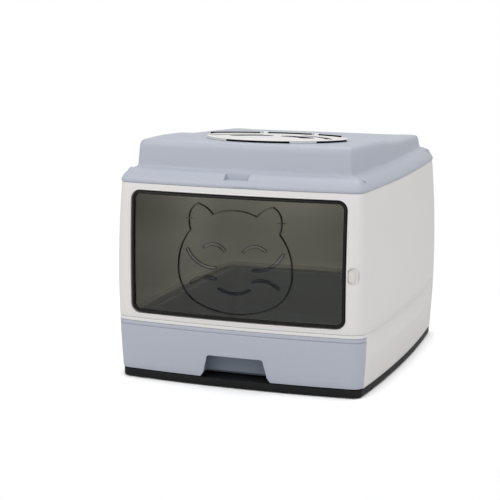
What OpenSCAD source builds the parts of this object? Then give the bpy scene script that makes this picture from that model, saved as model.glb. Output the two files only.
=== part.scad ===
/* [Cabinet plan] */
// Width between the front corners at the lid seam
body_w = 430; // [410:5:460]
// Depth between the front and rear corners
body_d = 508; // [480:4:540]
// How far the front bows out in plan
bow_front = 12; // [6:1:16]
// How far each side bows out in plan
bow_side = 11.5; // [6:0.5:15]
// How far the rear bows out in plan
bow_rear = 7; // [3:1:10]
// Corner radius at the front
corner_front = 15.5; // [13:0.5:18]
// Corner radius at the rear
corner_rear = 26; // [20:1:32]
// How far the walls swell out at half height
swell = 7.5; // [3:0.5:9]
// How far the foot of the walls spreads beyond the seam
foot_spread = 1.1; // [0:0.1:2]

/* [Cabinet heights] */
// Height of the seam under the lid
seam_z = 344; // [338:1:356]
// Height of the seam between the upper shell and the lower housing
split_z = 110; // [107:0.5:110.5]
// Top of the drawer front
drawer_top = 104.2; // [102:0.2:105]
// Bottom of the drawer front
drawer_bottom = 17; // [16.8:0.1:19]
// Top of the base tray
base_top = 15.2; // [13:0.1:15.6]
// Height of the feet below the base tray
foot_proud = 2; // [1:0.5:3]

/* [Walls and gaps] */
// Wall of the upper shell and the lower housing
wall = 3; // [2.4:0.2:3.2]
// Ledge where the upper shell sits on the lower housing
ledge_w = 12; // [10:0.5:13]
// Thickness of that ledge
ledge_t = 3; // [2:0.5:3]
// Gap of a parting seam
seam_gap = 0.4; // [0.2:0.1:0.6]
// Depth of the side grips under the upper shell
grip_deep = 6; // [3:0.5:7]
// Height where the side grips start
grip_z = 68; // [60:1:75]
// Rear end of the side grips
grip_rear = 132; // [110:2:140]
// Length over which a side grip runs out
grip_runout = 70; // [50:5:80]

/* [Base] */
// Thickness of the base tray's plate
base_t = 3; // [2:0.5:4]
// Radius of a foot
foot_r = 14; // [10:1:18]
// Distance of the feet from the sides
foot_in = 42; // [35:1:60]
// Width of a runner rail on the base
rail_w = 9; // [6:1:12]
// Distance of the runner rails from the sides
rail_in = 65; // [50:5:95]

/* [Door] */
// Width of the front beside the door opening, out to the cabinet's corner
door_side = 22; // [21:1:29]
// Bottom of the door opening
door_bottom = 118.4; // [118:0.2:122]
// Top of the door opening
door_top = 332.6; // [326:0.2:333]
// Corner radius of the door opening
door_corner = 17; // [14:1:22]
// Gap round the door
door_gap = 1.6; // [1.3:0.1:2]
// Width of the door's black edge frame
edge_w = 5; // [4.5:0.1:6.5]
// Depth of the door's black edge frame
edge_deep = 7.7; // [7.2:0.1:8]
// Chamfer of the door's edge frame
edge_chamfer = 3; // [2.6:0.1:3]
// Thickness of the smoked pane and the flap
pane_t = 3; // [2.5:0.1:3]
// Depth of the pane's face behind the front of the shell
pane_in = 2.3; // [2:0.1:2.5]
// Distance of the door's hinge line from the edge of the opening
hinge_in = 17; // [15:0.5:20]
// Depth of the door's hinge line behind the front
hinge_deep = 4.75; // [4.65:0.05:4.9]
// Radius of a door hinge pin
door_pin_r = 1; // [0.8:0.1:1.1]
// Running clearance of every pin in its bore
pin_play = 0.05; // [0.03:0.01:0.08]

/* [Cat flap] */
// Gap round the cat flap
flap_gap = 0.7; // [0.5:0.1:0.9]
// Height of the flap's swing line
flap_pivot_z = 290; // [286:1:294]
// Radius of a flap pin
flap_pin_r = 0.8; // [0.6:0.1:0.9]
// Width of the slots that draw the cat's face
slot_w = 4; // [3:0.5:5]

/* [Door latch] */
// Distance of the latch recess's middle from the door opening
latch_out = 11.6; // [10.6:0.2:12]
// Height of the latch
latch_z = 208.5; // [190:1:230]
// Half width of the latch recess
recess_half = 9.6; // [9:0.2:10]
// Half height of the latch recess
recess_tall = 15; // [13:0.5:17]
// Width of the latch knob
knob_w = 11; // [9:0.5:11.4]
// Height of the latch knob
knob_h = 20; // [16:1:23]
// Depth of the latch recess
recess_deep = 4; // [3.6:0.1:5]
// Travel of the latch
latch_travel = 5; // [4:0.5:5]
// Radius of the strike peg on the door
peg_r = 1.6; // [1.4:0.1:1.8]

/* [Lid] */
// Wall of the lid
lid_wall = 2.6; // [2.2:0.2:3]
// Height of the lid's sloping shoulder
shoulder_h = 24; // [20:1:28]
// Width of the lid's sloping shoulder
shoulder_w = 24; // [20:1:28]
// Height of the lid's top at its middle
top_z = 402; // [398:1:408]
// Fall of the top towards the rear for each millimetre of depth
top_fall = 0.049; // [0.03:0.001:0.06]
// Distance of the flat middle of the top from the cabinet's corners
top_side = 74; // [69:1:79]
// Height of the raised sides beside the hatch
side_rise = 5.2; // [3:0.2:6]
// Height of the raised front edge of the top
front_rise = 2.6; // [1.5:0.1:4]
// Depth of the lid's lip inside the shell
lip_deep = 8; // [5:1:10]
// Width of the finger pocket in the lid's front
pocket_w = 43; // [36:1:50]
// Radius of the studs on the lid's corners
stud_r = 4.5; // [3.5:0.5:5]

/* [Lid hinges] */
// Distance of the lid hinges from the cabinet's corners
lid_hinge_in = 35; // [31:1:60]
// Half length of a lid hinge
lid_hinge_half = 20; // [16:1:22]
// Radius of a lid hinge barrel
barrel_r = 6; // [5.6:0.1:6.4]
// Radius of a lid hinge pin
lid_pin_r = 2; // [1.6:0.1:2.4]

/* [Hatch] */
// Distance of the round hatch from the cabinet's corners
hatch_side = 85.5; // [83:0.5:93]
// Distance of the hatch's middle in front of the lid's middle
hatch_front = 42; // [38:1:48]
// Height of the hatch above the lid
hatch_lift = 3.6; // [3:0.2:4.6]
// Thickness of the hatch
hatch_t = 2.4; // [2:0.1:3]
// Thickness of the hatch's edge
hatch_edge_t = 0.9; // [0.7:0.1:1.2]
// Width of the bevel that thins the hatch towards its edge
hatch_bevel = 5; // [3:0.5:8]
// Distance of the hatch's rear edge behind its middle
hatch_rear = 62; // [58:1:66]
// Distance of the hatch's hinges from the middle
hatch_hinge_x = 49; // [40:1:52]
// Distance of the hatch's seal from the hatch's edge
seal_in = 4; // [3.6:0.1:8]
// Least width of the hatch's seal
seal_w = 7.5; // [6:0.5:12]
// Radius of the hatch hinge pin
hatch_pin_r = 1.1; // [0.9:0.1:1.2]

/* [Drawer] */
// Distance of the drawer pan's rim from the cabinet's corners
pan_side = 9; // [9:1:19]
// Width of the pan's rim
pan_rim = 9; // [7:0.5:10]
// Wall of the pan
pan_wall = 2.6; // [2:0.2:3]
// Corner radius of the pan's rim
pan_corner = 40; // [36:1:44]
// Gap between the pan and the parts round it
pan_gap = 1; // [0.6:0.1:1.2]
// Half width of the handle notch at its top
notch_half = 51.5; // [44:0.5:56]
// Top of the handle notch
notch_top = 56; // [50:1:60]
// Depth of the handle cup
notch_deep = 26; // [20:1:28]
// Height of the groove line under the drawer front's top edge
lip_line_z = 96.6; // [94:0.2:98]

/* [Hidden] */
$fn = 48;

white = [0.93, 0.93, 0.91];
blue_grey = [0.66, 0.69, 0.74];
black = [0.07, 0.07, 0.075];
smoke = [0.25, 0.26, 0.24, 0.55];
steel = [0.72, 0.73, 0.75];

// Half widths and radii that follow the cabinet's width
door_half = body_w / 2 - door_side;
latch_x = door_half + latch_out;
rail_x = body_w / 2 - rail_in;
top_flat = body_w / 2 - top_side;
lid_hinge_x = body_w / 2 - lid_hinge_in;
hatch_r = body_w / 2 - hatch_side;
pan_half = body_w / 2 - pan_side;

// Steps along each bowed edge of the plan and round each of its corners
edge_steps = 10;
corner_steps = 6;

function smooth(a, b, t) = let (u = min(1, max(0, (t - a) / (b - a)))) u * u * (3 - 2 * u);

// How far the wall stands out beyond the seam's outline at a height
function out_at(z) = let (t = (seam_z - z) / seam_z) foot_spread * t + swell * 4 * t * (1 - t);

// Slopes of the bowed edges where they meet the corners
slope_front = 4 * bow_front / body_w;
slope_side = 4 * bow_side / body_d;
slope_rear = 4 * bow_rear / body_w;

function unit(v) = v / norm(v);
function angle_of(v) = atan2(v[1], v[0]);

// The bowed edges of the plan and their outward normals
function front_edge(x) = -body_d / 2 - bow_front + 4 * bow_front * x * x / (body_w * body_w);
function rear_edge(x) = body_d / 2 + bow_rear - 4 * bow_rear * x * x / (body_w * body_w);
function side_edge(y) = body_w / 2 + bow_side - 4 * bow_side * y * y / (body_d * body_d);
function front_normal(x) = unit([8 * bow_front * x / (body_w * body_w), -1]);
function rear_normal(x) = unit([8 * bow_rear * x / (body_w * body_w), 1]);
function side_normal(y) = unit([1, 8 * bow_side * y / (body_d * body_d)]);
function end_edge(rear, x) = rear ? rear_edge(x) : front_edge(x);
function end_normal(rear, x) = rear ? rear_normal(x) : front_normal(x);

// Where an arc whose centre lies k inside both edges touches them: place on the end edge and place on the
// side edge
function touch(rear, k, x, y, n) = n == 0 ? [x, y]
    : touch(rear, k, side_edge(y) - k * side_normal(y)[0] + k * end_normal(rear, x)[0],
        end_edge(rear, x) - k * end_normal(rear, x)[1] + k * side_normal(y)[1], n - 1);
function corner_touch(rear, k) = touch(rear, k, body_w / 2 - k, (rear ? 1 : -1) * (body_d / 2 - k), 6);
function corner_at(rear, k) = let (t = corner_touch(rear, k))
    [t[0], end_edge(rear, t[0])] - k * end_normal(rear, t[0]);
corner_least = 9;
function corner_r(rear, off) = max(corner_least, (rear ? corner_rear : corner_front) + off);

// Points of the right half of the outline moved out by off, from the middle of the front to the middle of
// the rear
function half_outline(off) = let (rf = corner_r(false, off), rr = corner_r(true, off), kf = rf - off,
    kr = rr - off,
        tf = corner_touch(false, kf), tr = corner_touch(true, kr), cf = corner_at(false, kf),
            cr = corner_at(true, kr),
        f0 = angle_of(front_normal(tf[0])), f1 = angle_of(side_normal(tf[1])),
        r0 = angle_of(side_normal(tr[1])), r1 = angle_of(rear_normal(tr[0])))
    concat([for (i = [0 : edge_steps - 1]) let (x = tf[0] * i / edge_steps)
        [x, front_edge(x)] + off * front_normal(x)],
        [for (i = [0 : corner_steps]) let (t = f0 + (f1 - f0) * i / corner_steps)
            cf + rf * [cos(t), sin(t)]],
        [for (i = [1 : edge_steps - 1]) let (y = tf[1] + (tr[1] - tf[1]) * i / edge_steps)
            [side_edge(y), y] + off * side_normal(y)],
        [for (i = [0 : corner_steps]) let (t = r0 + (r1 - r0) * i / corner_steps)
            cr + rr * [cos(t), sin(t)]],
        [for (i = [1 : edge_steps]) let (x = tr[0] * (1 - i / edge_steps))
            [x, rear_edge(x)] + off * rear_normal(x)]);
function mirrored(p) = [for (i = [len(p) - 2 : -1 : 1]) [-p[i][0], p[i][1]]];
function outline(off) = let (p = half_outline(off)) concat(p, mirrored(p));
function at_height(points, z) = [for (p = points) [p[0], p[1], z]];
function lifted(off, z) = at_height(outline(off), z);

// Faces between loops of equal length, outer side seen clockwise
function bands(n, m, closed) = [for (j = [0 : closed ? m - 1 : m - 2]) for (i = [0 : n - 1])
    let (a = j * n, b = ((j + 1) % m) * n, k = (i + 1) % n) [a + i, b + i, b + k, a + k]];
function flat(loops) = [for (loop = loops) for (p = loop) p];

// A ring of loops that closes on itself, such as a shell with no ends
module ring_shell(loops) {
    polyhedron(flat(loops), bands(len(loops[0]), len(loops), true), convexity = 8);
}

// A stack of loops with a flat cap at each end
module stack(loops) {
    n = len(loops[0]);
    m = len(loops);
    caps = [[for (i = [0 : n - 1]) i], [for (i = [n - 1 : -1 : 0]) (m - 1) * n + i]];
    polyhedron(flat(loops), concat(caps, bands(n, m, false)), convexity = 8);
}

// The same for thin loops that run along a wall and back: each cap is a strip from one side to the other
module thin_stack(loops) {
    n = len(loops[0]);
    m = len(loops);
    strip = [for (i = [0 : n / 2 - 2]) [i, i + 1, n - 2 - i, n - 1 - i]];
    top = [for (q = strip) [for (k = [3 : -1 : 0]) (m - 1) * n + q[k]]];
    polyhedron(flat(loops), concat(strip, top, bands(n, m, false)), convexity = 8);
}

// Depth of the shell's front face at a place across and up
function front_y(x, z) = front_edge(x) - out_at(z);

// A point behind the front face
function behind_front(x, z, deep) = [x, front_y(x, z) + deep, z];

// The rounded rectangle of the door opening, grown or shrunk, as points [x, z] seen from the front
door_mid = (door_top + door_bottom) / 2;
door_tall = (door_top - door_bottom) / 2;
door_top_steps = 12;
door_side_steps = 6;
function door_corner_pts(cx, cz, start, grow) = [for (i = [0 : corner_steps])
    let (t = start + 90 * i / corner_steps)
    [cx + (door_corner + grow) * cos(t), cz + (door_corner + grow) * sin(t)]];
function between(a, b, n) = [for (i = [1 : n - 1]) a + (b - a) * i / n];
function door_path(grow) = let (cx = door_half - door_corner, low = door_mid - door_tall + door_corner,
        high = door_mid + door_tall - door_corner, w = door_half + grow, h = door_tall + grow)
    concat(door_corner_pts(cx, low, -90, grow), between([w, low], [w, high], door_side_steps),
        door_corner_pts(cx, high, 0, grow), between([cx, door_mid + h], [-cx, door_mid + h],
            door_top_steps),
        door_corner_pts(-cx, high, 90, grow), between([-w, high], [-w, low], door_side_steps),
        door_corner_pts(-cx, low, 180, grow), between([-cx, door_mid - h], [cx, door_mid - h],
            door_top_steps));
function door_loop(grow, deep) = [for (p = door_path(grow)) behind_front(p[0], p[1], deep)];

// A ring that follows the door opening, with a section of [grow, deep] corners
module door_ring(section) {
    ring_shell([for (s = section) door_loop(s[0], s[1])]);
}

// A prism along the depth, from a flat shape drawn across and up
module through(y0, y1) {
    translate([0, y1, 0])
        rotate([90, 0, 0])
            linear_extrude(height = y1 - y0)
                children();
}

far_front = -body_d / 2 - bow_front - swell - 20;
near_back = -body_d / 2 + 30;

// The drawer front wraps round both front corners to this depth
front_wrap_y = corner_at(false, corner_front)[1] + 0.4;

// Lower assembly ------------------------------------------------------------------------------

base_levels = [[foot_proud, 0.2], [foot_proud + 1, foot_spread], [base_top, foot_spread]];
base_inner = [[base_top - base_t, foot_spread - wall], [foot_proud, 0.2 - wall]];

module base_tray() {
    color(black)
        base_polyhedron();
}

// An upturned tray: the skirt's outside, the plate, then the skirt's inside
module base_polyhedron() {
    outer = [for (s = base_levels) lifted(s[1], s[0])];
    inner = [for (s = base_inner) lifted(s[1], s[0])];
    loops = concat(outer, inner);
    n = len(loops[0]);
    // The plate's top and underside are caps, and the skirt's foot joins the inside to the outside
    skin = [for (j = [0, 1, 3, 4]) for (i = [0 : n - 1])
        let (a = j * n, b = ((j + 1) % 5) * n, k = (i + 1) % n) [a + i, b + i, b + k, a + k]];
    top = [for (i = [n - 1 : -1 : 0]) 2 * n + i];
    under = [for (i = [0 : n - 1]) 3 * n + i];
    polyhedron(flat(loops), concat(skin, [top, under]), convexity = 8);
}

foot_x = body_w / 2 - foot_in;
foot_y = body_d / 2 - foot_in;

module rubber_feet() {
    color(black)
        for (x = [-foot_x, foot_x])
            for (y = [-foot_y, foot_y])
                translate([x, y, 0]) {
                    cylinder(r1 = foot_r - 1, r2 = foot_r, h = 1);
                    translate([0, 0, 1])
                        cylinder(r = foot_r, h = base_top - base_t - 1);
                }
}

rail_h = drawer_bottom + 1.6 - base_top;
rail_len = body_d - 60;

module runner_rails() {
    color(white)
        for (x = [-rail_x, rail_x])
            translate([x - rail_w / 2, -rail_len / 2, base_top])
                cube([rail_w, rail_len, rail_h]);
}

// Depth of the side grip at a place along the side and a height
grip_front = -body_d / 2 + corner_front + 12;
function grip_at(x, y, z) = abs(x) < body_w / 2 - corner_front ? 0
    : grip_deep * max(0, (z - grip_z) / (split_z - grip_z))
        * min(1, max(0, (y - grip_front) / 12)) * (1 - min(1, max(0, (y - grip_rear) / grip_runout)));
function housing_loop(off, z) = [for (p = lifted(off, z)) [p[0] - sign(p[0]) * grip_at(p[0], p[1], z),
    p[1], z]];
housing_zs = [base_top + 0.2, 30, 50, grip_z, (grip_z + split_z) / 2, drawer_top, split_z - seam_gap];

module lower_housing() {
    color(white)
        difference() {
            ring_shell(concat([for (z = housing_zs) housing_loop(out_at(z), z)],
                [housing_loop(out_at(split_z) - ledge_w, split_z - seam_gap),
                    housing_loop(out_at(drawer_top) - ledge_w, drawer_top),
                    housing_loop(out_at(drawer_top) - wall, drawer_top - 0.5)],
                [for (z = [housing_zs[4], grip_z, 50, 30, base_top + 0.2]) housing_loop(out_at(z) - wall,
                    z)]));
            translate([-body_w, far_front, 0])
                cube([2 * body_w, front_wrap_y - far_front, drawer_top]);
        }
}

// Upper shell ---------------------------------------------------------------------------------

shell_zs = [split_z, 135, 165, 195, 225, 255, 285, 315, seam_z];
shell_inner_zs = [seam_z, 315, 285, 255, 225, 195, 165, 135, split_z + ledge_t];

module door_opening(grow) {
    through(far_front, near_back)
        polygon(door_path(grow));
}

module latch_oval(half, tall) {
    translate([latch_x, latch_z + tall - half])
        circle(r = half);
    translate([latch_x, latch_z - tall + half])
        circle(r = half);
    translate([latch_x - half, latch_z - tall + half])
        square([2 * half, 2 * (tall - half)]);
}

module upper_shell() {
    color(white)
        difference() {
            union() {
                ring_shell(concat([for (z = shell_zs) lifted(out_at(z), z)],
                    [for (z = shell_inner_zs) lifted(out_at(z) - wall, z)],
                    [lifted(out_at(split_z) - ledge_w, split_z + ledge_t),
                        lifted(out_at(split_z) - ledge_w, split_z)]));
                shell_knuckles();
            }
            door_opening(0);
            through(far_front, near_back)
                latch_oval(recess_half, recess_tall);
            lid_hinge_bore(lid_pin_r + pin_play);
        }
}

// The sleeve and the stop lip behind the door opening. The lip is left off on the hinge side.
surround_sleeve = 3;
surround_deep = 15;
stop_deep = 12.6;
stop_w = 5;
hinge_x = -door_half + hinge_in;
function stop_grow(x) = -stop_w * smooth(hinge_x + 3, hinge_x + 29, x);
// Loops of the surround: kind 0 is the opening's own edge, 1 the sleeve's outside and 2 the edge of the
// stop lip
function surround_loop(kind, deep) = let (edge = door_path(0), sleeve = door_path(surround_sleeve),
    lip = door_path(-stop_w))
    [for (i = [0 : len(edge) - 1]) let (k = -stop_grow(edge[i][0]) / stop_w,
            p = kind == 0 ? edge[i] : kind == 1 ? sleeve[i] : edge[i] + k * (lip[i] - edge[i]))
        behind_front(p[0], p[1], deep)];
surround_gap = 0.2;
surround_sections = [[1, wall + surround_gap], [1, surround_deep], [2, surround_deep], [2, stop_deep],
    [0, stop_deep], [0, wall + surround_gap]];

module door_surround() {
    color(white)
        difference() {
            ring_shell([for (s = surround_sections) surround_loop(s[0], s[1])]);
            // Notch that lets the strike peg through the stop lip
            translate([peg_x - 4, front_y(peg_x, latch_z) + stop_deep - 1, latch_z - 4])
                cube([door_half - peg_x + 3.9, surround_deep, 8]);
            // Clearance round the ends of the door's hinge pins
            hinge_ends()
                translate([0, 0, -door_corner])
                    cylinder(r = door_pin_r + 0.8, h = door_corner + socket_off);
        }
}

// Hinge line of the door: it leans with the front face
hinge_low = [hinge_x, front_y(hinge_x, door_bottom) + hinge_deep, door_bottom];
hinge_high = [hinge_x, front_y(hinge_x, door_top) + hinge_deep, door_top];
hinge_lean = atan2(hinge_high[1] - hinge_low[1], hinge_high[2] - hinge_low[2]);
hinge_len = norm(hinge_high - hinge_low);

// Puts its first child at the upper end of the hinge line and its last at the lower end, each facing away
// from the door
module hinge_ends() {
    translate(hinge_high)
        rotate([-hinge_lean, 0, 0])
            children(0);
    translate(hinge_low)
        rotate([-hinge_lean, 0, 0])
            mirror([0, 0, 1])
                children($children - 1);
}

// Where the rounded corner of the opening crosses the hinge line, below its straight edge
corner_drop = door_corner - sqrt(pow(door_corner, 2) - pow(max(0, door_corner - hinge_in), 2));
pin_into_door = 2.3;
socket_off = surround_sleeve + 0.3;
socket_high = 3.5;
socket_low = door_bottom - socket_off - split_z - ledge_t - 0.25;
socket_w = 10;

module socket(h) {
    difference() {
        translate([-socket_w / 2, -hinge_deep, socket_off])
            cube([socket_w, 11, h]);
        cylinder(r = door_pin_r + pin_play, h = 8 * socket_high, center = true);
    }
}

// Everything inside the upper shell's walls, with a gap
module inside_shell(gap) {
    stack([for (z = shell_zs) lifted(out_at(z) - wall - gap, z)]);
}

module door_sockets() {
    color(white)
        intersection() {
            hinge_ends() {
                socket(socket_high);
                socket(socket_low);
            }
            inside_shell(0.1);
        }
}

module hinge_pin(h) {
    translate([0, 0, -corner_drop - door_gap - pin_into_door])
        cylinder(r = door_pin_r, h = corner_drop + door_gap + pin_into_door + socket_off + h);
}

module door_pins() {
    color(steel)
        hinge_ends() {
            hinge_pin(socket_high - 1);
            hinge_pin(socket_low - 0.2);
        }
}

latch_base_t = 2;
latch_slot_h = 5;
plate_t = 2;
neck_w = 5;
neck_h = latch_slot_h - 0.8;
neck_in = 0.3;
neck_play = 0.2;
peg_x = door_half - door_gap - edge_w + 1.8;
surround_back_y = front_y(door_half + surround_sleeve, latch_z) + surround_deep;
latch_face_y = front_y(latch_x, latch_z) + recess_deep;
plate_y = surround_back_y + 0.3;
peg_head_r = peg_r + 1.8;

// The floor of the latch recess, with a slot for the knob's neck: a cup that is open to the rear
module latch_base() {
    left = door_half + surround_sleeve + 0.1;
    low = latch_z - recess_tall - 3;
    w = latch_x + recess_half + 2.1 - left;
    h = 2 * recess_tall + 6;
    color(white)
        difference() {
            intersection() {
                translate([left, surround_back_y - 20, low])
                    cube([w, 20, h]);
                inside_shell(0.1);
            }
            through(far_front, latch_face_y)
                latch_oval(recess_half, recess_tall);
            intersection() {
                translate([left + latch_base_t, latch_face_y + latch_base_t, low + latch_base_t])
                    cube([w - 2 * latch_base_t, 20, h - 2 * latch_base_t]);
                inside_shell(0.1 + latch_base_t);
            }
            // The slot runs out through the near wall
            translate([left - 1, latch_face_y - 1, latch_z - latch_slot_h / 2])
                cube([knob_x + neck_in + neck_w + latch_travel + neck_play - left + 1, 20, latch_slot_h]);
        }
}

// Door ----------------------------------------------------------------------------------------

groove = 0.15;
edge_section = [[-door_gap - edge_chamfer, 0.3], [-door_gap, edge_chamfer],
    [-door_gap, edge_deep - edge_chamfer + 1.6],
    [-door_gap - edge_chamfer + 1.6, edge_deep], [-door_gap - edge_w, edge_deep],
    [-door_gap - edge_w, pane_in + pane_t + groove], [-door_gap - 2.4, pane_in + pane_t + groove],
    [-door_gap - 2.4, pane_in - groove], [-door_gap - edge_w, pane_in - groove], [-door_gap - edge_w, 0.3]];

module door_frame() {
    color(black)
        difference() {
            door_ring([for (i = [len(edge_section) - 1 : -1 : 0]) edge_section[i]]);
            hinge_ends()
                translate([0, 0, -corner_drop - door_gap - pin_into_door])
                    cylinder(r = door_pin_r, h = pin_into_door + 6);
        }
}

// A curved plate that follows the front, between two depths
plate_cols = 16;
plate_rows = 10;
function plate_row(half, z, deep) =
    [for (i = [0 : plate_cols]) behind_front(-half + 2 * half * i / plate_cols, z, deep)];
function plate_loop(half, z, d0, d1) = let (a = plate_row(half, z, d0), b = plate_row(half, z, d1))
    concat(a, [for (i = [plate_cols : -1 : 0]) b[i]]);

module curved_plate(half, low, high, d0, d1) {
    stack([for (j = [0 : plate_rows]) plate_loop(half, low + (high - low) * j / plate_rows, d0, d1)]);
}

// Points of an arc through three places
function circle_through(a, b, c) = let (d = 2 * (a[0] * (b[1] - c[1]) + b[0] * (c[1] - a[1]) + c[0]
    * (a[1] - b[1])))
    [((a * a) * (b[1] - c[1]) + (b * b) * (c[1] - a[1]) + (c * c) * (a[1] - b[1])) / d,
        ((a * a) * (c[0] - b[0]) + (b * b) * (a[0] - c[0]) + (c * c) * (b[0] - a[0])) / d];
function turn(a, b) = let (t = b - a) t > 180 ? t - 360 : t < -180 ? t + 360 : t;
function arc_through(a, b, c, n) = let (m = circle_through(a, b, c), r = norm(a - m), ta = angle_of(a - m),
        sweep = turn(ta, angle_of(b - m)) + turn(angle_of(b - m), angle_of(c - m)))
    [for (i = [0 : n - 1]) m + r * [cos(ta + sweep * i / n), sin(ta + sweep * i / n)]];

// The cat's head: key places on its right half, as heights above the chin
chin_z = 131.5;
head_top = [0, chin_z + 175];
ear_root = [39.2, chin_z + 166.5];
ear_tip = [67, chin_z + 183.9];
ear_side = [82, chin_z + 158];
ear_heel = [79, chin_z + 139.5];
cheek = [101.3, chin_z + 77];
jaw = [69.7, chin_z + 16.1];
chin = [0, chin_z];
function head_half() = concat(arc_through(head_top, [22, chin_z + 172.5], ear_root, 6),
    arc_through(ear_root, [52.5, chin_z + 178.5], ear_tip, 5),
    arc_through(ear_tip, [76.5, chin_z + 176], ear_side, 6),
    arc_through(ear_side, [81.7, chin_z + 149], ear_heel, 3),
    arc_through(ear_heel, [93.5, chin_z + 116], cheek, 7),
    arc_through(cheek, [92.5, chin_z + 39.5], jaw, 7),
    arc_through(jaw, [38, chin_z + 4.6], chin, 6), [chin]);
function mirror_x(p) = [for (i = [len(p) - 2 : -1 : 1]) [-p[i][0], p[i][1]]];
function head_outline() = concat(head_half(), mirror_x(head_half()));

module head_shape(grow) {
    offset(delta = grow)
        polygon(head_outline());
}

// A slot of constant width along an arc, with round ends
slot_steps = 8;
function arc_slot(a, b, c, w) = let (m = circle_through(a, b, c), r = norm(a - m), ta = angle_of(a - m),
        sweep = turn(ta, angle_of(b - m)) + turn(angle_of(b - m), angle_of(c - m)), tc = ta + sweep,
            s = sign(sweep))
    concat([for (i = [0 : slot_steps]) m + (r + w / 2) * [cos(ta + sweep * i / slot_steps),
        sin(ta + sweep * i / slot_steps)]],
        [for (i = [1 : 5]) c + w / 2 * [cos(tc + s * 30 * i), sin(tc + s * 30 * i)]],
        [for (i = [slot_steps : -1 : 0]) m + (r - w / 2) * [cos(ta + sweep * i / slot_steps),
            sin(ta + sweep * i / slot_steps)]],
        [for (i = [1 : 5]) a + w / 2 * [cos(ta + 180 + s * 30 * i), sin(ta + 180 + s * 30 * i)]]);

module mirror_pair() {
    children();
    mirror([1, 0])
        children();
}

// Eyes, whiskers and mouth of the sleeping cat
module face_slots(w) {
    mirror_pair() {
        polygon(arc_slot([17.5, chin_z + 107.5], [36.5, chin_z + 117], [54, chin_z + 111], w));
        polygon(arc_slot([85, chin_z + 106], [61, chin_z + 82], [34.5, chin_z + 77], w));
        polygon(arc_slot([34.2, chin_z + 57.8], [50, chin_z + 60.2], [77.7, chin_z + 48.7], w));
    }
    polygon(arc_slot([-26.5, chin_z + 42], [0, chin_z + 34.8], [26.5, chin_z + 42], w));
}

pane_back_grow = -door_gap - 2.6;

module door_pane() {
    color(smoke)
        difference() {
            intersection() {
                curved_plate(door_half, door_bottom - 1, door_top + 1, pane_in, pane_in + pane_t);
                door_opening(pane_back_grow);
            }
            through(far_front, near_back)
                head_shape(flap_gap);
            flap_bores(flap_pin_r + pin_play);
        }
}

module strike_peg() {
    peg_y = front_y(peg_x, latch_z) + edge_deep;
    color(steel)
        translate([peg_x, peg_y, latch_z])
            rotate([-90, 0, 0]) {
                cylinder(r = peg_r, h = plate_y + plate_t + 1 - peg_y);
                translate([0, 0, plate_y + plate_t + 0.6 - peg_y])
                    cylinder(r = peg_head_r, h = 1.6);
            }
}

// Flap ----------------------------------------------------------------------------------------

flap_edge_x = ear_side[0];
flap_pin_in = 7;
flap_axis_y = front_y(flap_edge_x, flap_pivot_z) + pane_in + pane_t / 2;

// Bores along the flap's swing line, on both sides of the cut
module flap_bores(r) {
    for (s = [-1, 1])
        translate([s * (flap_edge_x - flap_pin_in), flap_axis_y, flap_pivot_z])
            rotate([0, s * 90, 0])
                cylinder(r = r, h = 2 * flap_pin_in + flap_gap);
}

sheet_margin = 8;

module cat_flap() {
    color(smoke)
        difference() {
            intersection() {
                curved_plate(cheek[0] + sheet_margin, chin_z - sheet_margin, ear_tip[1] + sheet_margin,
                    pane_in,
                    pane_in + pane_t);
                through(far_front, near_back)
                    head_shape(0);
            }
            through(far_front, near_back)
                face_slots(slot_w);
            flap_bores(flap_pin_r);
        }
}

module flap_pins() {
    color(steel)
        for (s = [-1, 1])
            translate([s * (flap_edge_x - flap_pin_in), flap_axis_y, flap_pivot_z])
                rotate([0, s * 90, 0])
                    cylinder(r = flap_pin_r, h = 2 * flap_pin_in + flap_gap - 1);
}

// Latch ---------------------------------------------------------------------------------------

knob_x = door_half + surround_sleeve + 0.3;
knob_front_y = front_y(latch_x, latch_z) + 0.4;
knob_ribs = 3;

module latch_knob() {
    color(white)
        translate([knob_x, 0, latch_z]) {
            difference() {
                translate([0, latch_face_y - 0.2, 0])
                    rotate([90, 0, 0])
                        knob_body(latch_face_y - 0.2 - knob_front_y);
                for (i = [0 : knob_ribs])
                    translate([knob_w * (i + 0.5) / (knob_ribs + 1) - 0.45, knob_front_y - 1, -knob_h / 2])
                        cube([0.9, 1.5, knob_h]);
            }
            translate([neck_in, latch_face_y - 0.3, -neck_h / 2])
                cube([neck_w, plate_y - latch_face_y + 0.3, neck_h]);
        }
}

module knob_body(h) {
    r = knob_w / 2;
    translate([r, knob_h / 2 - r, 0])
        cylinder(r = r, h = h);
    translate([r, -knob_h / 2 + r, 0])
        cylinder(r = r, h = h);
    translate([0, -knob_h / 2 + r, 0])
        cube([knob_w, knob_h - knob_w, h]);
}

plate_h = 13;
keyhole_gap = 0.7;
plate_end = peg_x - latch_travel - peg_r - keyhole_gap - 2.5;

module latch_plate() {
    color(black)
        difference() {
            translate([plate_end, plate_y, latch_z - plate_h / 2])
                cube([knob_x + knob_w - plate_end, plate_t, plate_h]);
            translate([peg_x, plate_y - 1, latch_z])
                rotate([-90, 0, 0])
                    cylinder(r = peg_head_r + 0.8, h = plate_t + 2);
            translate([peg_x - latch_travel, plate_y - 1, latch_z])
                rotate([-90, 0, 0])
                    cylinder(r = peg_r + keyhole_gap, h = plate_t + 2);
            translate([peg_x - latch_travel, plate_y - 1, latch_z - peg_r - keyhole_gap])
                cube([latch_travel, plate_t + 2, 2 * (peg_r + keyhole_gap)]);
        }
}

// Lid -----------------------------------------------------------------------------------------

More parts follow.
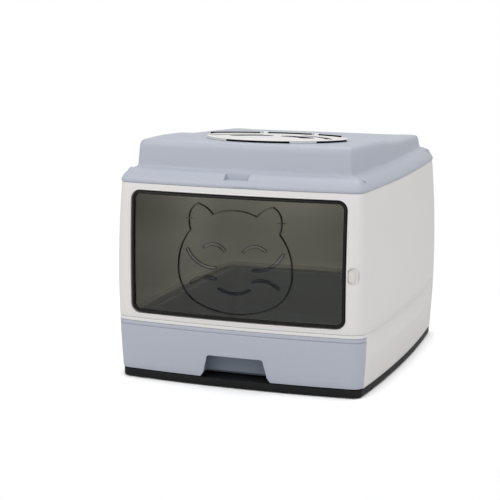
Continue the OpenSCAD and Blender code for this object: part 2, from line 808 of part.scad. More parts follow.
lid_z = seam_z + 0.6;
function top_plane(y) = top_z - top_fall * y;
function side_swell(y) = 1 + (side_rise - 1) * smooth(20, -60, y) - (side_rise - front_rise)
    * smooth(-120, -225, y);
function top_at(x, y) = top_plane(y) + side_swell(y) * smooth(top_flat, top_flat + 32, abs(x))
    + front_rise * smooth(-190, -228, y) * (1 - smooth(top_flat, top_flat + 32, abs(x)));

// Levels of the lid: inset from the seam, height above the rim up to the shoulder, share of the way up the
// dome
shoulder_levels = [[-1, 0, 0], [-1.2, 3, 0], [1.2, 8, 0], [4.5, 13, 0], [9.5, 18, 0], [15.5, 21.6, 0],
    [shoulder_w - 3, shoulder_h - 0.6, 0], [shoulder_w - 0.4, shoulder_h + 1.4, 0]];
dome_levels = [[shoulder_w + 0.6, 0.12], [shoulder_w + 1.4, 0.3], [shoulder_w + 2.2, 0.55],
    [shoulder_w + 3, 0.75],
    [shoulder_w + 4.6, 0.88], [shoulder_w + 8, 0.97], [shoulder_w + 13, 1]];
top_insets = [shoulder_w + 24, shoulder_w + 44, shoulder_w + 62];
foot_z = lid_z + shoulder_h + 1.4;
function dome_point(p, s, drop) = let (roof = top_at(p[0], p[1]))
    [p[0], p[1], foot_z + s * (roof - foot_z) - drop];
function dome_loop(inset, s, drop) = [for (p = outline(-inset)) dome_point(p, s, drop)];
function roof_loop(inset, drop) = let (q = outline(-shoulder_w - 13), k = (inset - shoulder_w - 13) / 180)
    [for (p = q) let (x = p[0] * (1 - k), y = p[1] * (1 - k)) [x, y, top_at(x, y) - drop]];
function lid_outer() = concat([for (s = shoulder_levels) lifted(-s[0], lid_z + s[1])],
    [for (s = dome_levels) dome_loop(s[0], s[1], 0)], [for (inset = top_insets) roof_loop(inset, 0)]);
lid_inner_shoulder = [for (i = [7, 6, 5, 4, 3, 2]) shoulder_levels[i]];
function lid_inner() = concat([for (i = [2 : -1 : 0]) roof_loop(top_insets[i], lid_wall)],
    [for (i = [6, 5, 4, 2, 0]) dome_loop(dome_levels[i][0] + lid_wall, dome_levels[i][1],
        lid_wall * dome_levels[i][1])],
    [for (s = lid_inner_shoulder) lifted(-s[0] - lid_wall, lid_z + s[1] - lid_wall * 0.55)],
    [lifted(-wall - seam_gap - 2, lid_z + 3), lifted(-wall - seam_gap - 2, lid_z - lip_deep),
        lifted(-wall - seam_gap, lid_z - lip_deep), lifted(-wall - seam_gap, lid_z)]);

module lid_polyhedron() {
    outer = lid_outer();
    inner = lid_inner();
    loops = concat(outer, inner);
    n = len(loops[0]);
    m = len(loops);
    split = len(outer);
    middle = [0, 0, top_at(0, 0)];
    points = concat(flat(loops), [middle, middle - [0, 0, lid_wall]]);
    skin = [for (j = [0 : m - 1]) if (j != split - 1) for (i = [0 : n - 1])
        let (a = j * n, b = ((j + 1) % m) * n, k = (i + 1) % n) [a + i, b + i, b + k, a + k]];
    roof = [for (i = [0 : n - 1]) [(split - 1) * n + i, n * m, (split - 1) * n + (i + 1) % n]];
    ceiling = [for (i = [0 : n - 1]) [split * n + (i + 1) % n, n * m + 1, split * n + i]];
    polyhedron(points, concat(skin, roof, ceiling), convexity = 8);
}

pocket_z = lid_z + 11.5;
pocket_top = lid_z + 22;
pocket_h = 12;
pocket_in = 15.8;
pocket_face_in = 5;
pocket_shelf_in = 10.3;
pocket_shelf_z = pocket_z + 5.7;
lid_front_y = front_edge(0);
// Shallow notch under the rim, just right of the middle
rim_notch_w = 40;
rim_notch_in = 0.6;
rim_notch_h = 2.2;

// Block behind the finger pocket, seen from the side as a flat shape
module pocket_block() {
    translate([-pocket_w / 2 - lid_wall, 0, 0])
        rotate([90, 0, 90])
            linear_extrude(height = pocket_w + 2 * lid_wall)
                polygon([[lid_front_y + pocket_face_in, pocket_z - lid_wall],
                    [lid_front_y + pocket_in + lid_wall, pocket_z - lid_wall],
                    [lid_front_y + pocket_in + lid_wall, pocket_top - 1],
                        [lid_front_y + pocket_in, pocket_top - 1.2],
                    [lid_front_y + pocket_shelf_in, pocket_shelf_z],
                    [lid_front_y + pocket_face_in + 0.4, pocket_z + 0.8]]);
}

module lid_shell() {
    color(blue_grey)
        difference() {
            union() {
                lid_polyhedron();
                pocket_block();
                lid_knuckles();
            }
            translate([-pocket_w / 2, lid_front_y - 3, pocket_z])
                cube([pocket_w, pocket_in + 3, pocket_h]);
            translate([-1, lid_front_y - 3, lid_z - 0.1])
                cube([rim_notch_w, 3 + rim_notch_in, rim_notch_h + 0.1]);
            translate([hinge_x - socket_w, front_edge(hinge_x) - 2, lid_z - lip_deep - 1])
                cube([2 * socket_w, 22, lip_deep - 0.5]);
            lid_hinge_bore(lid_pin_r);
            stud_places()
                cylinder(r = stud_r, h = 20, center = true);
            on_top()
                translate([0, filter_v, -30])
                    cylinder(r = hatch_hole_r, h = 60);
        }
}

// The hatch's own frame: flat on the sloping top, with its middle at the origin
module on_top() {
    translate([0, -hatch_front, top_plane(-hatch_front)])
        rotate([-atan(top_fall), 0, 0])
            children();
}

// The hatch seen from above: round in front, with a flatter arc along the rear
module hatch_plan(in) {
    intersection() {
        circle(r = hatch_r - in, $fn = 96);
        translate([0, -hatch_rear_drop])
            circle(r = hatch_rear_r - in, $fn = 96);
    }
}

hatch_rear_r = 170;
hatch_rear_drop = hatch_rear_r - hatch_rear;
backing_t = 1;
seal_h = hatch_lift - backing_t - 0.4;

// The hole under the hatch and the filter in it: halfway between the front and the rear of the seal
filter_v = (hatch_rear - hatch_r) / 2;
hatch_hole_r = (hatch_rear + hatch_r) / 2 - seal_in - seal_w;
filter_r = hatch_hole_r - 5;
filter_t = 6;

module hatch_seal() {
    color(black)
        on_top()
            linear_extrude(height = seal_h)
                difference() {
                    hatch_plan(seal_in);
                    translate([0, filter_v])
                        circle(r = hatch_hole_r);
                }
}

rail_gap = 0.8;
rail_t = 4;
rail_proud = 1.8;
rail_ends = [4, 30];

// Black rail behind the rear edge of the hatch, with gaps for the hinges
module hatch_rail() {
    color(black)
        on_top()
            linear_extrude(height = hatch_lift + hatch_t + rail_proud)
                difference() {
                    intersection() {
                        hatch_plan(-rail_gap - rail_t);
                        for (i = [0, 1])
                            translate([(i - 1) * 2 * hatch_r, rail_ends[i]])
                                square([2 * hatch_r, hatch_r]);
                    }
                    hatch_plan(-rail_gap);
                    for (s = [-1, 1])
                        translate([s * hatch_hinge_x - hatch_gap_half, 0])
                            square([2 * hatch_gap_half, 200]);
                }
}

hatch_axis_v = hatch_rear + 4;
hatch_axis_w = hatch_lift + hatch_t;
hatch_ear_t = 3;
hatch_ear_r = 2.6;
hatch_knuckle_w = 8;
hatch_gap_half = hatch_knuckle_w / 2 + hatch_ear_t + 1;

module hatch_ears() {
    color(blue_grey)
        on_top()
            for (s = [-1, 1])
                for (e = [-1, 1])
                    translate([s * hatch_hinge_x + e * (hatch_knuckle_w + hatch_ear_t + 0.8) / 2
                        - hatch_ear_t / 2, 0, 0])
                        difference() {
                            union() {
                                translate([0, hatch_axis_v, hatch_axis_w])
                                    rotate([0, 90, 0])
                                        cylinder(r = hatch_ear_r, h = hatch_ear_t);
                                translate([0, hatch_axis_v - hatch_ear_r, 0])
                                    cube([hatch_ear_t, 2 * hatch_ear_r, hatch_axis_w]);
                            }
                            translate([-1, hatch_axis_v, hatch_axis_w])
                                rotate([0, 90, 0])
                                    cylinder(r = hatch_pin_r, h = hatch_ear_t + 2);
                        }
}

skirt_t = 2;
skirt_in = 1.2;

module sector(r, middle, half_angle, h) {
    rotate([0, 0, middle])
        linear_extrude(height = h)
            polygon([[0, 0], [r * cos(half_angle), -r * sin(half_angle)], [r * 1.2, 0],
                [r * cos(half_angle), r * sin(half_angle)]]);
}

// Two broad and two long curved slots, drawn for a hatch of this radius, with a gap all round
hatch_drawn_r = 129.5;
broad_slot_w = 28;
long_slot_w = 13;
module hatch_slots(gap) {
    scale(hatch_r / hatch_drawn_r)
        mirror_pair() {
            polygon(arc_slot([20, -12], [44, -21], [66, -42], broad_slot_w - 2 * gap));
            polygon(arc_slot([42, 17], [80, -10], [108, -50], long_slot_w - 2 * gap));
        }
}

// A disc whose rim is bevelled above, so that its edge is thin
module bevelled_disc(r) {
    rotate_extrude()
        polygon([[0, 0], [r, 0], [r, hatch_edge_t], [r - hatch_bevel, hatch_t], [0, hatch_t]]);
}

// The hatch's plate: round in front and flatter behind, like its plan
module hatch_plate() {
    intersection() {
        bevelled_disc(hatch_r);
        translate([0, -hatch_rear_drop, 0])
            bevelled_disc(hatch_rear_r);
    }
}

// Directions and half angles of the skirt's windows: in front, at the right and at the left
hatch_windows = [[-90, 27], [-15, 26], [180, 14]];

// Skirt under the hatch, open where the windows are
module hatch_skirt() {
    difference() {
        translate([0, 0, 0.4])
            linear_extrude(height = hatch_lift)
                difference() {
                    hatch_plan(skirt_in);
                    hatch_plan(skirt_in + skirt_t);
                    translate([-hatch_r, hatch_rear - 14])
                        square([2 * hatch_r, 20]);
                }
        translate([0, 0, -1])
            for (window = hatch_windows)
                sector(hatch_r + 20, window[0], window[1], 20);
    }
}

module hatch_disc() {
    color(white)
        on_top()
            difference() {
                union() {
                    translate([0, 0, hatch_lift])
                        difference() {
                            hatch_plate();
                            translate([0, 0, -1])
                                linear_extrude(height = hatch_t + 2)
                                    hatch_slots(0);
                        }
                    hatch_skirt();
                    hatch_knuckles();
                }
                translate([-hatch_hinge_x - hatch_knuckle_w, hatch_axis_v, hatch_axis_w])
                    rotate([0, 90, 0])
                        cylinder(r = hatch_pin_r + pin_play, h = 2 * (hatch_hinge_x + hatch_knuckle_w));
            }
}

module hatch_knuckles() {
    for (s = [-1, 1])
        translate([s * hatch_hinge_x - hatch_knuckle_w / 2, 0, 0]) {
            translate([0, hatch_axis_v, hatch_axis_w])
                rotate([0, 90, 0])
                    cylinder(r = hatch_ear_r - 0.3, h = hatch_knuckle_w);
            translate([0, hatch_rear - 12, hatch_lift + 0.4])
                cube([hatch_knuckle_w, hatch_axis_v - hatch_rear + 12 - hatch_pin_r - 0.3, hatch_t - 0.8]);
        }
}

// Black plate under the hatch, with pads that fill the slots almost flush
module hatch_backing() {
    color(black)
        on_top() {
            translate([0, 0, hatch_lift - backing_t - 0.1])
                linear_extrude(height = backing_t)
                    hatch_plan(skirt_in + skirt_t + 0.3);
            translate([0, 0, hatch_lift - 0.3])
                linear_extrude(height = hatch_t)
                    hatch_slots(0.3);
        }
}

module hatch_pins() {
    l = hatch_knuckle_w + 2 * hatch_ear_t + 0.8;
    color(steel)
        on_top()
            for (s = [-1, 1])
                translate([s * hatch_hinge_x - l / 2, hatch_axis_v, hatch_axis_w])
                    rotate([0, 90, 0])
                        cylinder(r = hatch_pin_r, h = l);
}

tray_top = hatch_lift - backing_t - 0.3;

module filter_tray() {
    color(white)
        on_top()
            translate([0, filter_v, 0])
                rotate_extrude()
                    polygon([[filter_r + 0.4, tray_top], [filter_r + 0.4, tray_top - filter_t - 0.6],
                        [filter_r - 5, tray_top - filter_t - 0.6],
                            [filter_r - 5, tray_top - filter_t - 2.2],
                        [filter_r + 2.4, tray_top - filter_t - 2.2], [filter_r + 2.4, tray_top]]);
}

module carbon_filter() {
    color(black)
        on_top()
            translate([0, filter_v, tray_top - filter_t - 0.3])
                cylinder(r = filter_r, h = filter_t);
}

// Studs near the corners of the shoulder, each square to its slope
module stud_places() {
    for (x = [0, 1])
        for (y = [0, 1])
            mirror([x, 0, 0])
                mirror([0, y, 0])
                    translate([stud_x, -stud_y, lid_z + 17])
                        rotate([0, 45, 0])
                            children();
}

stud_x = body_w / 2 - 6.5;
stud_y = body_d / 2 - 30;

module corner_studs() {
    color(blue_grey)
        stud_places()
            translate([0, 0, -3.5])
                cylinder(r = stud_r, h = 6.5);
}

// Lid hinges ----------------------------------------------------------------------------------

hinge_y = rear_edge(lid_hinge_x - lid_hinge_half) + barrel_r + 2.4;
hinge_z = seam_z + 4;
knuckle_gap = 0.4;
leaf_half = lid_hinge_half - 11;
ear_w = lid_hinge_half - leaf_half - knuckle_gap;

// Depth where a knuckle's bracket starts, inside the rear wall: the outer ones start further forward
function bracket_start(end) = rear_edge(lid_hinge_x) - wall + (end > 0 ? -0.5 : 1.3);

// The four knuckles of the shell: each a barrel on a bracket that grows from the rear wall
module shell_knuckles() {
    for (side = [-1, 1])
        for (end = [-1, 1])
            translate([side * (lid_hinge_x + end * (lid_hinge_half + leaf_half + knuckle_gap) / 2)
                - ear_w / 2, 0, 0]) {
                translate([0, hinge_y, hinge_z])
                    rotate([0, 90, 0])
                        cylinder(r = barrel_r, h = ear_w);
                translate([0, hinge_y - barrel_r, seam_z - 22])
                    cube([ear_w, barrel_r + 3, 22 + hinge_z - seam_z]);
                translate([0, bracket_start(end), seam_z - 22])
                    cube([ear_w, hinge_y - bracket_start(end), 21.6]);
            }
}

// The two knuckles of the lid
module lid_knuckles() {
    for (side = [-1, 1])
        translate([side * lid_hinge_x - leaf_half, 0, 0]) {
            translate([0, hinge_y, hinge_z])
                rotate([0, 90, 0])
                    cylinder(r = barrel_r - 0.5, h = 2 * leaf_half);
            translate([0, hinge_y - barrel_r - 6, hinge_z - 2])
                cube([2 * leaf_half, barrel_r + 6, 6]);
        }
}

module lid_hinge_bore(r) {
    translate([-body_w, hinge_y, hinge_z])
        rotate([0, 90, 0])
            cylinder(r = r, h = 2 * body_w);
}

module lid_hinge_pins() {
    color(steel)
        for (side = [-1, 1])
            translate([side * lid_hinge_x - lid_hinge_half, hinge_y, hinge_z])
                rotate([0, 90, 0])
                    cylinder(r = lid_pin_r, h = 2 * lid_hinge_half);
}

// Drawer --------------------------------------------------------------------------------------

pan_top = drawer_top - pan_gap;
pan_bottom = base_top + rail_h + 0.1;
pan_rear = body_d / 2 - 8;
pan_front = front_wrap_y + 3;
pan_draft = 6;

// Outline of the pan inside its rim's own outline: the front stays at front, the sides and the rear move in
function pan_loop(in, front, z) = let (w = pan_half - in, y1 = pan_rear - in, r = max(8, pan_corner - in),
    f = pan_front_r)
    at_height(concat(pan_arc(w - f, front + f, -90, f), pan_arc(w - r, y1 - r, 0, r),
        pan_arc(-w + r, y1 - r, 90, r),
        pan_arc(-w + f, front + f, 180, f)), z);
function pan_arc(cx, cy, start, r) = [for (i = [0 : corner_steps]) let (t = start + 90 * i / corner_steps)
    [cx + r * cos(t), cy + r * sin(t)]];
pan_front_r = 12;
pan_rim_t = 3;

module drawer_pan() {
    low = pan_rim + pan_draft;
    loops = [pan_loop(low + 6, pan_front + 2, pan_bottom), pan_loop(low, pan_front, pan_bottom + 5),
        pan_loop(pan_rim, pan_front, pan_top - pan_rim_t), pan_loop(0, pan_front - 2, pan_top - pan_rim_t),
        pan_loop(0, pan_front - 2, pan_top), pan_loop(pan_rim + pan_wall, pan_front + pan_wall, pan_top),
        pan_loop(low + pan_wall, pan_front + pan_wall, pan_bottom + 5 + pan_wall),
        pan_loop(low + 6 + pan_wall, pan_front + 2 + pan_wall, pan_bottom + pan_wall)];
    color(blue_grey)
        difference() {
            stack(loops);
            screw_places()
                cylinder(r = screw_r, h = 12, center = true);
        }
}

drawer_front_t = 3;
groove_in = 0.9;
front_levels = [[drawer_bottom, 0.8], [drawer_bottom + 1, 0], [35, 0], [55, 0], [75, 0],
    [lip_line_z - 1, 0],
    [lip_line_z - 0.5, groove_in], [lip_line_z + 0.5, groove_in], [lip_line_z + 1, 0],
        [drawer_top - 1.6, 0],
    [drawer_top - 0.5, 0.8]];
function wrap(off) = let (h = half_outline(off), p = [for (i = [0 : edge_steps + corner_steps]) h[i]])
    concat([for (i = [len(p) - 1 : -1 : 1]) [-p[i][0], p[i][1]]], p);
function grooved_loop(level) = let (a = wrap(out_at(level[0]) - level[1]),
    b = wrap(out_at(level[0]) - drawer_front_t))
    at_height(concat(a, [for (i = [len(b) - 1 : -1 : 0]) b[i]]), level[0]);

notch_flare = 7;
notch_r = 6;
function notch_half_pts(grow) = let (h = notch_half + grow, top = notch_top + grow)
    concat([for (i = [0 : 4]) let (t = 90 - 22.5 * i) [h - notch_r + notch_r * cos(t),
        top - notch_r + notch_r * sin(t)]],
        [[h + notch_flare, drawer_bottom + 7], [h + notch_flare + 5, drawer_bottom - 1]]);
function notch_pts(grow) = let (p = notch_half_pts(grow)) concat(p,
    [for (i = [len(p) - 1 : -1 : 0]) [-p[i][0], p[i][1]]]);

module drawer_front() {
    color(blue_grey)
        difference() {
            union() {
                thin_stack([for (s = front_levels) grooved_loop(s)]);
                screw_bosses();
            }
            through(far_front, near_back)
                polygon(notch_pts(0));
            screw_places()
                cylinder(r = screw_r, h = screw_l - 3);
        }
}

cup_t = 2;
cup_front_y = front_y(0, notch_top) + drawer_front_t;
cup_back_y = cup_front_y + 1.2 + notch_deep;
cup_half = notch_half + notch_flare + 1;
cup_low = drawer_bottom + 7;
cup_h = notch_top + 2 - cup_low;

// A cup whose front edge follows the inside of the drawer front
module handle_cup() {
    color(blue_grey)
        intersection() {
            union() {
                translate([-cup_half - cup_t, cup_back_y - cup_t, cup_low])
                    cube([2 * (cup_half + cup_t), cup_t, cup_h]);
                translate([-cup_half - cup_t, cup_front_y - 2, notch_top + 1])
                    cube([2 * (cup_half + cup_t), cup_back_y - cup_front_y + 2, cup_t]);
                for (s = [-1, 1])
                    translate([s * (cup_half + cup_t / 2) - cup_t / 2, cup_front_y - 2, cup_low])
                        cube([cup_t, cup_back_y - cup_front_y + 2, cup_h]);
            }
            stack([for (z = [drawer_bottom + 1, 35, 55, 75]) lifted(out_at(z) - drawer_front_t - 0.3, z)]);
        }
}

screw_r = 1.8;
screw_l = 18;
screw_x = body_w / 2 - 95;
screw_heights = [pan_bottom + 24, pan_top - 20];
boss_r = 4.5;

// Places of the screws, on the outside of the pan's front wall, facing forward
module screw_places() {
    for (x = [-screw_x, screw_x])
        for (z = screw_heights)
            translate([x, pan_front, z])
                rotate([90, 0, 0])
                    children();
}

// Bosses behind the drawer front that the screws run into, from the middle of its wall to the pan
module screw_bosses() {
    for (x = [-screw_x, screw_x])
        for (z = screw_heights)
            let (y = front_y(x, z) + drawer_front_t / 2)
                translate([x, y, z])
                    rotate([-90, 0, 0])
                        cylinder(r = boss_r, h = pan_front - 0.1 - y);
}

module front_screws() {
    color(steel)
        screw_places() {
            translate([0, 0, -pan_wall - 2])
                cylinder(r = 2 * screw_r, h = 2);
            translate([0, 0, -pan_wall - 1])
                cylinder(r = screw_r, h = screw_l - 3);
        }
}

base_tray();
rubber_feet();
runner_rails();
lower_housing();
upper_shell();
door_surround();
door_sockets();
latch_base();
door_frame();
door_pane();
door_pins();
strike_peg();
cat_flap();
flap_pins();
latch_knob();
latch_plate();
lid_shell();
lid_hinge_pins();
corner_studs();
hatch_seal();
hatch_rail();
hatch_ears();
hatch_pins();
hatch_disc();
hatch_backing();
filter_tray();
carbon_filter();
drawer_pan();
drawer_front();
handle_cup();
front_screws();
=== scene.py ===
# %% [markdown]
# # An enclosed drawer litter box
#
# A litter box of this kind is a white moulded cabin over a pull-out tray. The front is a smoked door with a
# cat-head flap, the top is a lift-up lid with a filter hatch, and all of it stands on a black base.
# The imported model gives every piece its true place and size. This lesson builds the visible surfaces over it.

# %% Load the frame
import math

import bmesh
import bpy
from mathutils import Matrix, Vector


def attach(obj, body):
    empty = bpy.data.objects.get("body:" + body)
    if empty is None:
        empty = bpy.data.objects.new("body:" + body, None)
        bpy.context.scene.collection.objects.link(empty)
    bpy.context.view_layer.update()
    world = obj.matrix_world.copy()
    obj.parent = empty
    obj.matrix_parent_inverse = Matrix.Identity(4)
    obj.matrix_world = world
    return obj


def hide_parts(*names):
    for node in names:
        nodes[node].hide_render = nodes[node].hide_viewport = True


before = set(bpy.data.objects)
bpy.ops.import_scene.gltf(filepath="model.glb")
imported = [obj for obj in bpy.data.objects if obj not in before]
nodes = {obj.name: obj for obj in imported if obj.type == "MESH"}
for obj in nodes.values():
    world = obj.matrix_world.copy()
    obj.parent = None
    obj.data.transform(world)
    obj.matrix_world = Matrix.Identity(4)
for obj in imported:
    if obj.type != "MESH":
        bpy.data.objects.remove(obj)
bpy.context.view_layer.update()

# %% [markdown]
# ## The plan and the leaning walls
#
# All four walls bow outward a little in plan, and they swell between the lid seam and the floor. Bowed walls stay
# flat-looking when a large thin moulding cools, where truly flat ones would warp. Every shell below follows these
# same few curves, so neighbours meet along one line. All lengths are in millimetres until a mesh is made.

# %% The plan's curves
MM = 0.001
BODY_W, BODY_D = 430.0, 508.0
BOW_FRONT, BOW_SIDE, BOW_REAR = 12.0, 11.5, 7.0
ENDS = {False: (-1, BOW_FRONT), True: (1, BOW_REAR)}
SEAM_Z, FLOOR_SPREAD, WALL_SWELL = 344.0, 1.1, 7.5


def out_at(z):
    """How far the walls stand outside the plan at a height."""
    t = (SEAM_Z - z) / SEAM_Z
    return FLOOR_SPREAD * t + WALL_SWELL * 4 * t * (1 - t)


def end_edge(rear, x):
    way, bow = ENDS[rear]
    return way * (BODY_D / 2 + bow - 4 * bow * x * x / BODY_W**2)


def end_normal(rear, x):
    way, bow = ENDS[rear]
    return Vector((8 * bow * x / BODY_W**2, way)).normalized()


def side_edge(y):
    return BODY_W / 2 + BOW_SIDE - 4 * BOW_SIDE * y * y / BODY_D**2


def side_normal(y):
    return Vector((1, 8 * BOW_SIDE * y / BODY_D**2)).normalized()


def front_y(x, z):
    return end_edge(False, x) - out_at(z)


print("front wall at the seam", end_edge(False, 0), "widest swell", round(max(map(out_at, range(344))), 2))

# %% [markdown]
# ## One outline for every height
#
# The outline is four parabolas joined by corner arcs. Moving it in or out keeps the arcs tangent to the walls.
# A corner's centre could be solved with algebra, but a few rounds of stepping are simpler. Each round moves the
# point nearer to the place that lies the same distance inside both edges.

# %% Outline at any offset
CORNER_FRONT, CORNER_REAR, CORNER_LEAST = 15.5, 26.0, 9.0
EDGE_STEPS, CORNER_STEPS, SETTLING_ROUNDS = 22, 10, 8


def corner_touch(rear, k):
    """Where a circle of radius k in the corner touches the end, as X, and the side, as Y."""
    x, y = BODY_W / 2 - k, ENDS[rear][0] * (BODY_D / 2 - k)
    for _ in range(SETTLING_ROUNDS):
        en, sn = end_normal(rear, x), side_normal(y)
        x, y = side_edge(y) - k * sn.x + k * en.x, end_edge(rear, x) - k * en.y + k * sn.y
    return x, y


def corner(rear, off):
    """The corner arc's radius, where it touches the end and the side, its centre and its two end angles."""
    radius = max(CORNER_LEAST, (CORNER_REAR if rear else CORNER_FRONT) + off)
    x, y = corner_touch(rear, radius - off)
    centre = Vector((x, end_edge(rear, x))) - (radius - off) * end_normal(rear, x)
    a, b = end_normal(rear, x), side_normal(y)
    return radius, x, y, centre, math.atan2(a.y, a.x), math.atan2(b.y, b.x)


def arc(centre, radius, a, b, steps):
    angles = [a + (b - a) * i / steps for i in range(steps + 1)]
    return [centre + radius * Vector((math.cos(t), math.sin(t))) for t in angles]


def half_outline(off):
    rf, xf, yf, cf, fa, fb = corner(False, off)
    rr, xr, yr, cr, ra, rb = corner(True, off)
    points = [Vector((x, end_edge(False, x))) + off * end_normal(False, x)
              for x in (xf * i / EDGE_STEPS for i in range(EDGE_STEPS))]
    points += arc(cf, rf, fa, fb, CORNER_STEPS)
    points += [Vector((side_edge(y), y)) + off * side_normal(y)
               for y in (yf + (yr - yf) * i / EDGE_STEPS for i in range(1, EDGE_STEPS))]
    points += arc(cr, rr, rb, ra, CORNER_STEPS)
    points += [Vector((x, end_edge(True, x))) + off * end_normal(True, x)
               for x in (xr * (1 - i / EDGE_STEPS) for i in range(1, EDGE_STEPS + 1))]
    return points


def mirrored(half):
    """Closes a half outline, drawn on the right, with its mirror image."""
    return half + [Vector((-p.x, p.y)) for p in half[-2:0:-1]]


def outline(off):
    return mirrored(half_outline(off))


def at_height(points, z):
    return [Vector((p.x, p.y, z)) for p in points]


print("outline points", len(outline(0)))

# %% [markdown]
# ## Thin shells from rings of edges
#
# A moulded shell is a thin skin over a stack of outlines. It could be carved from a block, but a skin keeps every
# wall as thin as the real one. One ring of edges is extruded from outline to outline, and its points move into
# place. A closed loft joins its last ring to its first, as a tube does, and an open one is capped at both ends.

# %% Rings, skins and lofts
collection = bpy.data.collections.new("visible_pieces")
bpy.context.scene.collection.children.link(collection)


def of_kind(geom, kind):
    return [g for g in geom if isinstance(g, kind)]


def add_ring(bm, points):
    verts = [bm.verts.new(Vector(p) * MM) for p in points]
    return [bm.edges.new((verts[i], verts[(i + 1) % len(verts)])) for i in range(len(verts))]


def next_ring(bm, ring, points):
    grown = bmesh.ops.extrude_edge_only(bm, edges=ring)["geom"]
    for vert, point in zip(of_kind(grown, bmesh.types.BMVert), points):
        vert.co = Vector(point) * MM
    return of_kind(grown, bmesh.types.BMEdge)


def loft(loops, closed=False):
    """Skins the loops. They run backwards, which settles how quads that aren't quite flat split in two."""
    bm = bmesh.new()
    first = ring = add_ring(bm, loops[0][::-1])
    for loop in loops[1:]:
        ring = next_ring(bm, ring, loop[::-1])
    if closed:
        bmesh.ops.bridge_loops(bm, edges=ring + first)
    else:
        for end in (first, ring):
            bmesh.ops.contextual_create(bm, geom=end)
    bmesh.ops.recalc_face_normals(bm, faces=bm.faces)
    return bm


trial = loft([at_height(outline(0), z) for z in (0, 10)])
print("a trial loft has faces", len(trial.faces))
trial.free()

# %% [markdown]
# ## Simple solids
#
# Pegs, bosses and all the cutters are simple solids: a rod between two points, a block between two corners, or an
# outline drawn out along a vector. Each starts from one of Blender's own shapes or from a ring of edges, so that
# its place is given once and nothing has to be moved by hand.

# %% Rod, block and prism
def turned(bm, direction, spot=(0, 0, 0)):
    """Turns a shape's Z axis to a direction and moves its origin to a spot."""
    matrix = Vector((0, 0, 1)).rotation_difference(Vector(direction)).to_matrix()
    bmesh.ops.rotate(bm, verts=bm.verts, cent=(0, 0, 0), matrix=matrix)
    bmesh.ops.translate(bm, verts=bm.verts, vec=Vector(spot) * MM)
    return bm


def rod(low, high, radius, segments=32):
    low, high = Vector(low), Vector(high)
    bm = bmesh.new()
    bmesh.ops.create_cone(bm, cap_ends=True, segments=segments, radius1=radius * MM, radius2=radius * MM,
                          depth=(high - low).length * MM)
    return turned(bm, (high - low).normalized(), (low + high) / 2)


def block(low, high):
    low, high = Vector(low), Vector(high)
    bm = bmesh.new()
    bmesh.ops.create_cube(bm, size=1.0)
    bmesh.ops.scale(bm, vec=(high - low) * MM, verts=bm.verts)
    bmesh.ops.translate(bm, vec=(high + low) / 2 * MM, verts=bm.verts)
    return bm


def thickened(bm, run):
    """Draws all the faces out along a vector, so that a flat face becomes a solid."""
    grown = bmesh.ops.extrude_face_region(bm, geom=bm.faces[:])["geom"]
    bmesh.ops.translate(bm, verts=of_kind(grown, bmesh.types.BMVert), vec=Vector(run) * MM)
    bmesh.ops.recalc_face_normals(bm, faces=bm.faces)
    return bm


def prism(points, run):
    bm = bmesh.new()
    bmesh.ops.contextual_create(bm, geom=add_ring(bm, points))
    return thickened(bm, run)


def punch(points, y0=-300.0, y1=-225.0):
    """A cutter through the front wall, from an outline in X and Z."""
    return prism([(p.x, y0, p.y) for p in points], (0, y1 - y0, 0))


def merged(parts):
    whole = parts[0]
    for part in parts[1:]:
        mesh = bpy.data.meshes.new("part")
        part.to_mesh(mesh)
        part.free()
        whole.from_mesh(mesh)
        bpy.data.meshes.remove(mesh)
    return whole


print("a trial block has faces", len(block((0, 0, 0), (1, 1, 1)).faces))

# %% [markdown]
# ## Cutting and joining
#
# A mould opens holes with slides and cores, and a boolean cutter does the same here. The exact solver is slower
# than the fast one, but it copes with faces that lie flush. Each result is applied at once, so the next step starts
# from a plain mesh.

# %% Objects and booleans
def as_object(bm, name):
    mesh = bpy.data.meshes.new(name)
    bm.to_mesh(mesh)
    bm.free()
    obj = bpy.data.objects.new(name, mesh)
    collection.objects.link(obj)
    return obj


def apply_modifiers(obj):
    graph = bpy.context.evaluated_depsgraph_get()
    mesh = bpy.data.meshes.new_from_object(obj.evaluated_get(graph))
    obj.modifiers.clear()
    old = obj.data
    obj.data = mesh
    bpy.data.meshes.remove(old)


def combine(obj, cutter, operation="DIFFERENCE"):
    tool = as_object(cutter, "tool")
    mod = obj.modifiers.new("cut", "BOOLEAN")
    mod.operation, mod.object, mod.solver = operation, tool, "EXACT"
    apply_modifiers(obj)
    bpy.data.objects.remove(tool)


print("pieces go to the collection", collection.name)

# %% [markdown]
# ## Rounded edges and honest shading
#
# No moulded edge is truly sharp, and a narrow round is what catches the light along it. A bevel with three segments
# gives that round on every edge past an angle. Smooth shading then hides the facets, and edges past a second angle
# stay sharp, so that flat faces look flat.

# %% Finishing a piece
def round_edges(obj, width, segments=3, angle=35):
    mod = obj.modifiers.new("round", "BEVEL")
    mod.width, mod.segments, mod.profile = width * MM, segments, 0.5
    mod.limit_method, mod.angle_limit = "ANGLE", math.radians(angle)
    mod.miter_outer = "MITER_ARC"
    mod.use_clamp_overlap = True


def smooth(obj, angle):
    obj.data.polygons.foreach_set("use_smooth", [True] * len(obj.data.polygons))
    obj.data.set_sharp_from_angle(angle=math.radians(angle))


def finish_piece(obj, body, material, replaced=(), round_to=0.0, angle=32):
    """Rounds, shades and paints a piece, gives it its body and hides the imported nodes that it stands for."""
    if round_to:
        round_edges(obj, round_to)
        apply_modifiers(obj)
    smooth(obj, angle)
    obj.data.materials.clear()
    obj.data.materials.append(material)
    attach(obj, body)
    if replaced:
        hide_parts(*replaced)
    print(obj.name, "faces", len(obj.data.polygons))
    return obj


# %% [markdown]
# ## Nodes in a few words
#
# A material is a tree of nodes with links between them. It could be drawn by hand in the node editor. In a script,
# one helper that places a node with its values, and one that wires several links, keep each tree readable.

